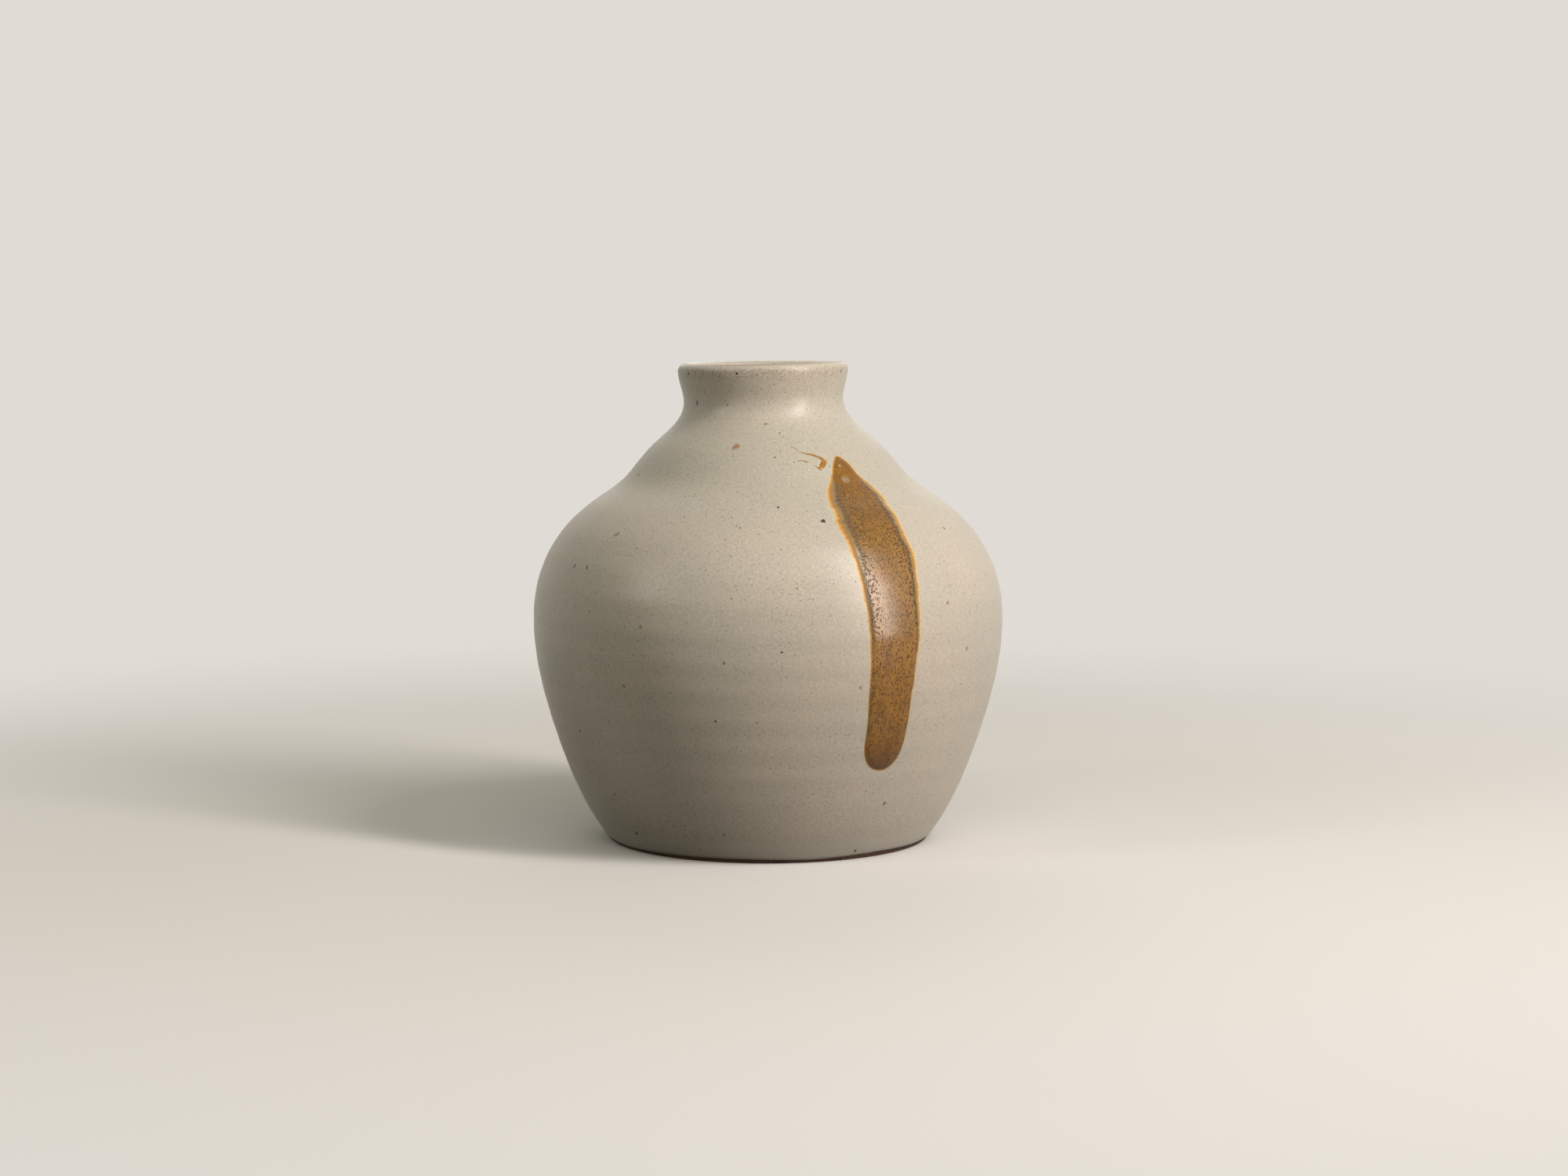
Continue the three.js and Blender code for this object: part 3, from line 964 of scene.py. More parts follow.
    def ground(self, tree: Tree, place: Socket, level: Socket) -> Socket:
        """Clouded and streaked ground of the stripe, with its haze, and darker towards its foot.

        Args:
            tree: Node tree that the pattern goes into.
            place: Socket of the point that is coloured.
            level: Socket of its height.

        Returns:
            Socket of the colour.
        """
        base = self.ramp(tree, level, self.body_stops, METRE)
        cloud = add_node(tree, "ShaderNodeTexNoise", sized(place, self.cloud_size, Detail=3.0))
        drawn = add_node(tree, "ShaderNodeMapping", {"Vector": place, "Scale": self.streak_draw})
        streak = add_node(tree, "ShaderNodeTexNoise", sized(drawn, self.streak_size, Detail=2.0))
        both = add_node(tree, "ShaderNodeMath", {0: cloud, 1: streak}, operation="ADD")
        shade = add_node(tree, "ShaderNodeMapRange", self.ground_shade.over(both))
        base = add_node(tree, "ShaderNodeMix", {FACTOR: 1.0, UNDER: base, OVER: shade}, **SHADING)
        haze = add_node(tree, "ShaderNodeTexNoise", sized(place, self.bloom_size, Detail=2.0))
        haze = add_node(tree, "ShaderNodeMapRange", self.bloom_cover.over(haze), **EASED)
        base = add_node(tree, "ShaderNodeMix", {FACTOR: haze, UNDER: base, OVER: self.bloom}, **COLOUR_MIX)
        foot_dark = add_node(tree, "ShaderNodeMapRange", self.foot_dark_height.over(level, METRE))
        return add_node(tree, "ShaderNodeMix", {FACTOR: foot_dark, UNDER: base, OVER: self.foot_dark}, **COLOUR_MIX)

    def crystals(self, tree: Tree, depth: Socket) -> tuple[Socket, Socket]:
        """Body of the stripe: its ground under fine dark crystals, plainer towards the tip, and its patches.

        Args:
            tree: Node tree that the pattern goes into.
            depth: Socket of the depth inside the mark.

        Returns:
            Sockets of the colour and of the crystals' factor.
        """
        place = add_node(tree, "ShaderNodeTexCoord", output="Object")
        level = self.height(tree)
        body = self.ground(tree, place, level)
        drawn = add_node(tree, "ShaderNodeMapping", {"Vector": place, "Scale": self.crystal_draw})
        fine = self.crystal_dots.factor(tree, drawn, self.crystal_share)
        clots = self.clot_dots.factor(tree, drawn, self.clot_share)
        dark = add_node(tree, "ShaderNodeMath", {0: fine, 1: clots}, operation="MAXIMUM")
        crowd = add_node(tree, "ShaderNodeMapRange", self.crowd.over(depth))
        plain = add_node(tree, "ShaderNodeMapRange", self.plain_tip.over(level, METRE))
        for part in (crowd, plain):
            dark = add_node(tree, "ShaderNodeMath", {0: dark, 1: part}, operation="MULTIPLY")
        grain = add_node(tree, "ShaderNodeTexNoise", sized(drawn, self.grain_size, Detail=2.0))
        shade = add_node(tree, "ShaderNodeMapRange", self.grain_shade.over(grain))
        body = add_node(tree, "ShaderNodeMix", {FACTOR: 1.0, UNDER: body, OVER: shade}, **SHADING)
        body = add_node(tree, "ShaderNodeMix", {FACTOR: dark, UNDER: body, OVER: self.crystal}, **COLOUR_MIX)
        for patch in self.patches:
            laid = {FACTOR: self.patch_factor(tree, patch), UNDER: body, OVER: patch.colour}
            body = add_node(tree, "ShaderNodeMix", laid, **COLOUR_MIX)
        return body, dark

    def pitted(self, tree: Tree) -> Socket:
        """1 on the stripe's left half, where the brush left most iron and crystals pit it, less on its right.

        Args:
            tree: Node tree that the factor goes into.

        Returns:
            Socket of the factor, which follows the angle round the pot.
        """
        place = add_node(tree, "ShaderNodeTexCoord", output="Object")
        across = add_node(tree, "ShaderNodeSeparateXYZ", {0: place}, output="X")
        front = {0: across.node.outputs["Y"], 1: -1.0}
        front = add_node(tree, "ShaderNodeMath", front, operation="MULTIPLY")
        angle = add_node(tree, "ShaderNodeMath", {0: across, 1: front}, operation="ARCTAN2")
        return add_node(tree, "ShaderNodeMapRange", self.thick_side.over(angle, math.radians(1)))

    def material(self) -> bpy.types.Material:
        """Iron on the stripe: its fringe at the edges, its crystals inside, glossy and pitted by them.

        Returns:
            The material.
        """
        material, tree = new_material(self.name)
        depth = self.depth(tree)
        body, crystals = self.crystals(tree, depth)
        tip, foot = (
            add_node(tree, "ShaderNodeMapRange", span.over(self.height(tree), METRE))
            for span in (self.tip_depth, self.foot_depth)
        )
        ends = add_node(tree, "ShaderNodeMath", {0: tip, 1: foot}, operation="ADD")
        deeper = add_node(tree, "ShaderNodeMath", {0: depth, 1: ends}, operation="ADD")
        inside = add_node(tree, "ShaderNodeMapRange", self.body_start.over(deeper), **EASED)
        dark = add_node(tree, "ShaderNodeMapRange", self.crystal_start.over(deeper), **EASED)
        pits = add_node(tree, "ShaderNodeMath", {0: crystals, 1: dark}, operation="MULTIPLY")
        laid = {FACTOR: pits, UNDER: self.bled(tree, SatinGlaze().colour(tree)), OVER: self.crystal}
        fringe = add_node(tree, "ShaderNodeMix", laid, **COLOUR_MIX)
        colour = add_node(tree, "ShaderNodeMix", {FACTOR: inside, UNDER: fringe, OVER: body}, **COLOUR_MIX)
        pits = add_node(tree, "ShaderNodeMath", {0: pits, 1: self.pitted(tree)}, operation="MULTIPLY")
        relief = {"Height": pits, "Strength": self.pit_strength, "Distance": self.pit_depth * METRE}
        normal = add_node(tree, "ShaderNodeBump", relief, output="Normal", invert=True)
        look = {"Base Color": colour, "Roughness": self.roughness, "IOR": GLAZE_IOR, "Normal": normal}
        shader = add_node(tree, "ShaderNodeBsdfPrincipled", look)
        add_node(tree, "ShaderNodeOutputMaterial", {"Surface": shader}, output=None)
        return material

    def flick_material(self) -> bpy.types.Material:
        """Iron of the thin flicks: golden brown, clouded darker, and orange where it thins at its edges.

        Returns:
            The material.
        """
        material, tree = new_material(self.name + "_thin")
        place = add_node(tree, "ShaderNodeTexCoord", output="Object")
        cloud = add_node(tree, "ShaderNodeTexNoise", sized(place, self.thin_size, Detail=3.0))
        base = add_node(tree, "ShaderNodeValToRGB", {0: cloud}, stops=self.thin_stops)
        across = add_node(tree, "ShaderNodeAttribute", output="Fac", attribute_name="iron_depth")
        thin = add_node(tree, "ShaderNodeMapRange", self.rim_cover.over(across), **EASED)
        colour = add_node(tree, "ShaderNodeMix", {FACTOR: thin, UNDER: base, OVER: self.rim}, **COLOUR_MIX)
        look = {"Base Color": colour, "Roughness": self.roughness, "IOR": GLAZE_IOR}
        shader = add_node(tree, "ShaderNodeBsdfPrincipled", look)
        add_node(tree, "ShaderNodeOutputMaterial", {"Surface": shader}, output=None)
        return material


class SpeckTone(Enum):
    """Colours of the specks that iron and grog leave in the glaze."""

    BLACK = "#33210B"
    BROWN = "#573A1C"
    OCHRE = "#A18540"
    RED = "#98694A"
    PINK = "#A98567"
    GREEN = "#9A9878"


@dataclass(frozen=True)
class SpeckledGlaze:
    """Iron and grog that came up through the glaze: a dark heart with a soft halo that sinks into it."""

    name: str = "iron_speck"
    roughness: float = 0.4
    ragged_size: float = 0.45
    ragged_shift: Span = Span(0.0, 1.0, -0.25, 0.25)
    halo: Span = Span(0.08, 0.5)

    def material(self, tone: SpeckTone) -> bpy.types.Material:
        """A speck of one tone on the outside glaze.

        Args:
            tone: Colour of its heart.

        Returns:
            The material.
        """
        material, tree = new_material(f"{self.name}_{tone.name.lower()}")
        glaze = SatinGlaze()
        place = add_node(tree, "ShaderNodeTexCoord", output="Object")
        heart = add_node(tree, "ShaderNodeAttribute", output="Fac", attribute_name="speck_heart")
        ragged = add_node(tree, "ShaderNodeTexNoise", sized(place, self.ragged_size, Detail=2.0))
        shift = add_node(tree, "ShaderNodeMapRange", self.ragged_shift.over(ragged))
        edge = add_node(tree, "ShaderNodeMath", {0: heart, 1: shift}, operation="ADD")
        cover = add_node(tree, "ShaderNodeMapRange", self.halo.over(edge), **EASED)
        laid = {FACTOR: cover, UNDER: glaze.colour(tree), OVER: tone.value}
        colour = add_node(tree, "ShaderNodeMix", laid, **COLOUR_MIX)
        normal = glaze.bump(tree)
        look = {"Base Color": colour, "Roughness": self.roughness, "IOR": GLAZE_IOR, "Normal": normal}
        shader = add_node(tree, "ShaderNodeBsdfPrincipled", look)
        add_node(tree, "ShaderNodeOutputMaterial", {"Surface": shader}, output=None)
        return material


@dataclass(frozen=True)
class ClayBody:
    """The thrown and turned clay: foot ring, recess, wall and lip, one glaze thickness under both glazes."""

    form: ThrownForm
    foot_ring_width: float = 7.5
    recess_bevel: float = 1.5
    foot_round: float = 0.5
    first_ring: float = 2.0
    bevel_gap: float = 0.5
    ring_gap: float = 0.4
    columns: int = 256
    recess_rows: int = 14
    bevel_rows: int = 9
    ring_rows: int = 12
    edge_rows: int = 5
    wall_rows: int = 140
    roll_rows: int = 23
    floor_rows: int = 9
    inside_rows: int = 80

    def profile(self) -> tuple[np.ndarray, np.ndarray]:
        """Runs from the recess over the foot ring, up the outside and down the inside to the floor.

        The foot's outer edge is a quarter ellipse and the recess's edge an eased slope. The wall follows the
        outside and the inside at one glaze thickness.

        Returns:
            Radii and heights, without the points on the axis.
        """
        form, skin = self.form, self.form.glaze_thickness
        wall_height = np.linspace(form.glaze_line, form.lip_height, self.wall_rows)
        outside, slope = form.outline(wall_height)
        outside = outside - skin * np.hypot(1, slope)
        edge = outside[0] - self.foot_round
        recess = edge - self.foot_ring_width
        ease = np.linspace(0, 1, self.bevel_rows)
        turn = np.linspace(0, math.pi / 2, self.edge_rows + 2)[1:-1]
        roll_radius, roll_height = form.lip_roll(np.linspace(0, math.pi, self.roll_rows + 2)[1:-1], skin)
        in_radius, in_height = form.inside_profile(skin, self.floor_rows, self.inside_rows)
        radius = np.concatenate([
            np.linspace(self.first_ring, recess - self.recess_bevel - self.bevel_gap, self.recess_rows),
            recess - self.recess_bevel * (1 - ease),
            np.linspace(recess + self.ring_gap, edge, self.ring_rows),
            edge + self.foot_round * np.sin(turn),
            outside,
            roll_radius,
            in_radius[::-1],
        ])
        height = np.concatenate([
            np.full(self.recess_rows, form.recess_depth),
            form.recess_depth * (1 - smooth(0.0, 1.0, ease)),
            np.zeros(self.ring_rows),
            form.glaze_line * (1 - np.cos(turn)),
            wall_height,
            roll_height,
            in_height[::-1],
        ])
        return radius, height

    def build(self) -> None:
        """Turns the profile round the axis and closes it in the middle of the recess and of the floor."""
        radius, height = self.profile()
        rings = self.form.place(ring_of(self.columns)[None, :], radius[:, None], height[:, None])
        poles = np.array([[0, 0, height[0]], [0, 0, height[-1]]])
        piece = closed_mesh("thrown_clay", rings[None], poles[None])
        settle(piece, BareClay().material(), "stoneware_clay", "clay_body")


@dataclass(frozen=True)
class OuterGlaze:
    """The dipped glaze: from its rolled edge above the foot, over the lip, to a soft edge in the mouth."""

    form: ThrownForm
    stripe: IronStripe
    columns: int = 300
    rows: int = 216
    under_rows: int = 50
    roll_rows: int = 21
    # Degrees between which the columns stand closer, and the turn over which they close up
    dense_from: float = 8.0
    dense_to: float = 54.0
    dense_ease: float = 6.0
    dense_times: float = 3.6
    line_wave: float = 0.22
    line_reach: float = 6.0
    edge_round: float = 0.8
    edge_steps: tuple[float, ...] = (0, 0.06, 0.14, 0.26, 0.42, 0.65)
    edge_gap: float = 0.2
    sunk: float = 0.05
    mouth_drop: float = 2.0
    mouth_wave: float = 0.5
    # How far the mouth's edge stands off the wall, row by row down to where it sinks in
    mouth_stand: tuple[float, ...] = (0.0, 0.0, 0.03, 0.05, 0.06, 0.05, 0.02, -0.06)
    under_stride: int = 3
    # How far past the lip's crest the hidden underside is said to lie, which is far before it
    hidden_past: float = -180.0

    def angles(self) -> np.ndarray:
        """Angles of the columns, closer together over the stripe, where the fringe needs a finer mesh.

        Returns:
            Angles, in radians.
        """
        fine = np.linspace(0, 2 * math.pi, RULER)
        turn = np.degrees(fine)
        there = smooth(self.dense_from - self.dense_ease, self.dense_from, turn)
        there = there * (1 - smooth(self.dense_to, self.dense_to + self.dense_ease, turn))
        run = along(1 + (self.dense_times - 1) * there[1:])
        return np.interp(np.linspace(0, run[-1], self.columns + 1)[:-1], run, fine)

    def heights(self, count: int) -> np.ndarray:
        """Heights up to the lip at even steps along the outline, with the rolled edge in finer ones.

        Args:
            count: How many even steps the whole outline has.

        Returns:
            The heights.
        """
        fine = np.linspace(self.form.glaze_line, self.form.lip_height, RULER)
        _, slope = self.form.outline(fine)
        run = along(np.hypot(1, slope)[1:] * np.diff(fine))
        even = np.interp(np.linspace(0, run[-1], count), run, fine)
        edge = self.form.glaze_line + self.edge_round * np.array(self.edge_steps)
        return np.concatenate([edge, even[even > edge[-1] + self.edge_gap]])

    def build(self) -> None:
        """Joins the underside, sunk in the clay, to the face over it, into one shell that closes on itself.

        The lowest rows follow a wavy line that fades out by line_reach up. Over the last edge_round the face
        rolls down to the clay as a quarter circle. Each point of the face is told how far it lies inside the
        stripe, and how far along the glaze it lies past the lip's crest.
        """
        form, angle = self.form, self.angles()[None, :]
        line = self.line_wave * ripple(angle, waves=9, seed=5)
        wavy, low = (
            height + line * (1 - smooth(0.0, self.line_reach, height - form.glaze_line))
            for height in (self.heights(self.rows)[:, None], self.heights(self.under_rows)[:, None])
        )
        above = np.clip((wavy - form.glaze_line - line) / self.edge_round, 0, 1)
        bead = -(form.glaze_thickness - self.sunk) * (1 - np.sqrt(1 - (1 - above) ** 2))
        face = form.place(angle, form.outside_radius(angle, wavy, bead), wavy)
        turn = np.linspace(0, math.pi, self.roll_rows + 2)[1:-1, None] + 0 * angle
        roll = form.place(angle, *form.lip_roll(turn))
        drop = self.mouth_drop + self.mouth_wave * ripple(angle, waves=7, seed=8)
        stand = np.array(self.mouth_stand)[:, None]
        inward = form.lip_height - np.linspace(0, 1, len(stand))[:, None] * drop
        mouth = form.place(angle, form.inside_radius(inward, -stand), inward)
        deep, stride = form.glaze_thickness + self.sunk, self.under_stride
        under = form.place(angle, form.outside_radius(angle, low, -deep), low)
        under_roll = form.place(angle, *form.lip_roll(turn[::stride], deep))
        under_mouth = form.place(angle, form.inside_radius(inward[::stride], deep), inward[::stride])
        rings = np.concatenate([under, under_roll, under_mouth, mouth[::-1], roll[::-1], face[::-1]])
        depth = np.full(rings.shape[:2], FAR_OUTSIDE)
        past = np.full(rings.shape[:2], self.hidden_past)
        first = len(rings) - len(face)
        depth[first:] = self.stripe.depth_at(angle + 0 * wavy, wavy)[::-1]
        # Half the length of the lip's roll, as of a circle of the mean of its two radii
        bend = (form.lip_wall + 2 * form.lip_crown) / 4 * math.pi / 2
        past[first:] = (wavy - form.lip_height - bend)[::-1]
        past[first - len(roll) : first] = (bend * (turn / (math.pi / 2) - 1))[::-1]
        past[first - len(roll) - len(mouth) : first - len(roll)] = (bend + form.lip_height - inward)[::-1]
        piece = closed_mesh("dipped_glaze", rings[None], None, iron_depth=depth, past_crest=past)
        settle(piece, SatinGlaze().material(), "satin_glaze", "outer_glaze")


@dataclass(frozen=True)
class PouredLiner:
    """The poured glaze on the floor and the wall inside, over the spiral that the potter's fingers left."""

    form: ThrownForm
    columns: int = 224
    floor_rows: int = 10
    wall_rows: int = 130
    under_floor_rows: int = 6
    under_wall_rows: int = 30
    spiral_pitch: float = 6.5
    spiral_depth: float = 0.12
    # Heights over the floor between which the spiral starts, and heights between which it ends
    spiral_start: tuple[float, float] = (1.0, 14.0)
    spiral_end: tuple[float, float] = (118.0, 126.0)
    sunk: float = 0.05

    def build(self) -> None:
        """Closes the glazed face and its underside, sunk in the clay, at the middle of the floor.

        The face stands off its profile by a sine of height over pitch plus the angle, which is one ridge that
        climbs.
        """
        form, angle = self.form, ring_of(self.columns)[None, :]
        radius, height = (row[:, None] for row in form.inside_profile(0.0, self.floor_rows, self.wall_rows))
        start, end = smooth(*self.spiral_start, height - form.floor_height), smooth(*self.spiral_end, height)
        spiral = np.sin(2 * math.pi * height / self.spiral_pitch + angle) * start * (1 - end)
        face = form.place(angle, radius - self.spiral_depth * spiral, height)
        deep = form.glaze_thickness + self.sunk
        under = form.inside_profile(deep, self.under_floor_rows, self.under_wall_rows)
        under = form.place(angle, *(row[:, None] for row in under))
        rings = np.concatenate([face, under[::-1]])
        poles = np.array([[0, 0, form.floor_height], [0, 0, form.floor_height - deep]])
        piece = closed_mesh("poured_glaze", rings[None], poles[None])
        settle(piece, LinerGlaze().material(), "liner_glaze", "liner_glaze")


class Spot(NamedTuple):
    """A place on the outside: its angle from the front, in degrees, and its height."""

    angle: float
    height: float


@dataclass(frozen=True)
class IronStripe:
    """The broad brushed stripe, from its round foot to its tip, thick in the middle and bled at the edges.

    Its two edges are lists of places on the pot, as degrees and heights, from the foot to the tip.
    """

    form: ThrownForm
    foot: Spot = Spot(30.32, 25.43)
    tip: Spot = Spot(35.1, 106.0)
    left: Pairs = (
        (28.75, 25.89), (27.39, 26.71), (26.35, 27.84), (25.59, 29.43), (25.09, 31.43), (24.95, 36.0),
        (24.6, 44.4), (24.5, 50.0), (24.35, 57.0), (23.95, 63.9), (23.35, 70.3), (22.95, 75.3), (22.3, 80.9),
        (21.85, 85.0), (21.4, 88.3), (21.25, 90.9), (21.6, 93.5), (22.0, 95.5), (22.7, 96.9), (23.6, 97.8),
        (25.1, 98.7), (26.7, 99.9), (28.0, 101.1), (29.4, 102.6), (30.9, 104.0), (32.6, 105.1),
        (33.8, 105.75),
    )
    right: Pairs = (
        (32.29, 25.55), (33.42, 26.11), (34.27, 26.78), (35.07, 27.65), (35.79, 28.9), (36.4, 30.9),
        (36.75, 34.0), (36.8, 38.5), (36.7, 42.4), (36.55, 45.4), (36.6, 46.6), (36.84, 47.7), (36.9, 51.0),
        (37.15, 55.0), (37.75, 59.5), (37.95, 63.0), (38.05, 66.5), (38.55, 71.5), (39.3, 76.0), (40.1, 80.1),
        (40.7, 84.5), (41.4, 88.2), (42.8, 91.8), (43.9, 94.9), (44.4, 96.6), (44.0, 98.0), (43.0, 99.1),
        (41.9, 100.4), (40.75, 102.2), (39.65, 103.7), (38.3, 104.75), (37.1, 105.35), (36.1, 105.78),
    )
    fringe_heights: tuple[float, ...] = (25, 38, 50, 62, 70, 79, 91, 97, 101, 106)
    left_fringe: tuple[float, ...] = (0.18, 0.22, 0.42, 0.9, 1.3, 1.9, 2.6, 2.3, 0.8, 0.55)
    right_fringe: tuple[float, ...] = (0.18, 0.22, 0.42, 0.9, 1.3, 1.75, 2.1, 1.9, 1.0, 0.55)
    # Shares of the way across between which the left fringe's width gives way to the right one's
    middle: tuple[float, float] = (0.35, 0.65)
    # How far round, in degrees, and up or down a mark can reach past its outline
    search_turn: float = 16.0
    search_height: float = 9.0
    thickness: float = 0.17
    ridge: float = 0.02
    ridge_start: float = 0.5
    ridge_end: float = 3.4
    shoulder: float = 1.7
    sunk: float = 0.04
    under_depth: float = 0.25
    under_shares: tuple[float, float] = (0.97, 0.03)
    rows: int = 360
    columns: int = 56
    under_columns: int = 10
    outline_stride: int = 3
    # Least square of a step and least width across that are divided by
    least_square: float = 1e-12
    least_width: float = 1e-6

    def edge(self, spots: Pairs) -> tuple[np.ndarray, np.ndarray]:
        """Angles and ways up the map along one edge, by two splines over the way along it.

        Args:
            spots: The edge between the stripe's foot and its tip.

        Returns:
            Angles and ways north, in radians, at even steps.
        """
        trail = np.array([self.foot, *spots, self.tip])
        east, north = np.radians(trail[:, 0]), self.form.north(trail[:, 1])
        way = along(np.hypot(np.diff(east), np.diff(north)))
        even = np.linspace(0, way[-1], self.rows)
        return SmoothCurve.through(way, east)(even)[0], SmoothCurve.through(way, north)(even)[0]

    @cached_property
    def edges(self) -> tuple[tuple[np.ndarray, np.ndarray], tuple[np.ndarray, np.ndarray]]:
        """The left and the right edge."""
        return self.edge(self.left), self.edge(self.right)

    def inset(self, angle: np.ndarray, height: np.ndarray) -> tuple[np.ndarray, np.ndarray]:
        """How far points lie inside the stripe's outline, below 0 outside, and how wide the fringe is there.

        The distance is the least one to the outline's straight pieces, on the map that keeps angles true,
        times the pot's radius at the point.

        Args:
            angle: Angles, in radians.
            height: Heights, as many as angles.

        Returns:
            Distances and widths.
        """
        (left, left_north), (right, right_north) = self.edges
        there = np.stack([left, left_north], 1)[:: self.outline_stride]
        back = np.stack([right, right_north], 1)[::-1][:: self.outline_stride]
        trail = np.concatenate([there, back])
        step = (np.roll(trail, -1, 0) - trail)[None]
        north = self.form.north(height)
        spot = np.stack([angle, north], -1)[:, None, :]
        square = np.maximum((step**2).sum(-1), self.least_square)
        share = np.clip(((spot - trail) * step).sum(-1) / square, 0, 1)
        gap = np.linalg.norm(spot - trail - share[..., None] * step, axis=-1).min(1)
        gap = gap * self.form.outline(height)[0]
        low = np.interp(north, np.maximum.accumulate(left_north), left)
        high = np.interp(north, np.maximum.accumulate(right_north), right)
        within = (angle > low) & (angle < high) & (north > left_north[0]) & (north < left_north[-1])
        both = self.left_fringe, self.right_fringe
        sides = [np.interp(height, self.fringe_heights, fringe) for fringe in both]
        rightness = smooth(*self.middle, (angle - low) / np.maximum(high - low, self.least_width))
        return np.where(within, gap, -gap), sides[0] + (sides[1] - sides[0]) * rightness

    def depth_at(self, angle: np.ndarray, height: np.ndarray) -> np.ndarray:
        """How far points lie inside the outline, in widths of the fringe.

        Args:
            angle: Angles, in radians.
            height: Heights, as many as angles.

        Returns:
            Depths, all the same and far outside where no mark can reach.
        """
        (left, _), (right, _) = self.edges
        reach = math.radians(self.search_turn)
        near = (angle > left.min() - reach) & (angle < right.max() + reach)
        low, high = self.foot.height - self.search_height, self.tip.height + self.search_height
        near &= (height > low) & (height < high)
        distance, width = self.inset(angle[near], height[near])
        depth = np.full(angle.shape, FAR_OUTSIDE)
        depth[near] = np.maximum(distance / width, FAR_OUTSIDE)
        return depth

    def lift(self, distance: np.ndarray) -> np.ndarray:
        """How far the iron stands off the glaze at a distance inside its outline.

        It starts sunk, rises over the shoulder to its thickness and a ridge, and settles to its thickness.

        Args:
            distance: Distances inside the outline.

        Returns:
            Heights over the glaze.
        """
        rise = (self.thickness + self.sunk) * smooth(0.0, self.shoulder, distance) - self.sunk
        ridge = smooth(self.ridge_start, self.shoulder, distance)
        return rise + self.ridge * ridge * (1 - smooth(self.shoulder, self.ridge_end, distance))

    def between(self, across: np.ndarray) -> tuple[np.ndarray, np.ndarray]:
        """Places on the rows between the two edges.

        Args:
            across: Shares of the way from the left edge to the right one.

        Returns:
            Angles and heights.
        """
        left, right = (np.stack(edge, -1)[1:-1, None] for edge in self.edges)
        east, north = np.moveaxis(left + (right - left) * across[..., None], -1, 0)
        return east, self.form.height_at(north)

    def build(self) -> None:
        """Carries a closed section up the stripe: over its face, and back under it, sunk in the glaze.

        The face's columns stand at shares across that are half of 1 less the cosine of even angles.
        """
        form = self.form
        angle, height = self.between((1 - np.cos(np.linspace(0, math.pi, self.columns)))[None, :] / 2)
        distance, width = (part.reshape(angle.shape) for part in self.inset(angle.ravel(), height.ravel()))
        distance = np.maximum(distance, 0)
        face = form.on_outside(angle, height, self.lift(distance))
        back = np.linspace(*self.under_shares, self.under_columns)[None, :]
        under = form.on_outside(*self.between(back), -self.under_depth)
        poles = self.foot, self.tip
        ends = [form.on_outside(math.radians(turn), level, -self.sunk) for turn, level in poles]
        depth = np.concatenate([distance / width, np.zeros(under.shape[:2])], 1)
        rings = np.concatenate([face, under], 1)
        piece = closed_mesh("iron_stripe", rings[None], np.array(ends)[None], iron_depth=depth)
        settle(piece, BrushedIron().material(), "iron_glaze", "iron_stroke")


class Step(NamedTuple):
    """A spot on a thin line of iron: its angle in degrees, its height and the line's width there."""

    angle: float
    height: float
    width: float


class Flick(Enum):
    """The thin lines of iron beside the stripe's tip."""

    HOOK = (
        Step(13.80, 108.52, 0.24),
        Step(14.80, 108.22, 0.24),
        Step(16.15, 107.63, 0.24),
        Step(17.62, 107.11, 0.24),
        Step(18.92, 106.87, 0.42),
        Step(20.89, 106.59, 0.47),
        Step(23.12, 106.29, 0.69),
        Step(25.06, 105.81, 0.77),
        Step(26.30, 105.42, 1.00),
        Step(26.93, 105.04, 1.30),
        Step(27.00, 104.56, 1.64),
        Step(26.32, 104.07, 1.53),
        Step(25.57, 103.64, 1.35),
        Step(24.76, 103.24, 1.16),
        Step(23.90, 102.92, 0.80),
        Step(23.33, 103.08, 0.51),
        Step(22.50, 103.55, 0.30),
        Step(21.63, 103.79, 0.24),
    )
    DASH = (
        Step(14.50, 104.87, 0.24),
        Step(15.70, 105.02, 0.24),
        Step(16.77, 105.06, 0.28),
        Step(17.70, 104.91, 0.40),
        Step(18.62, 104.71, 0.46),
        Step(19.42, 104.51, 0.24),
    )

    @property
    def node(self) -> str:
        """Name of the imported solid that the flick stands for."""
        return f"iron_flick_{self.name.lower()}"


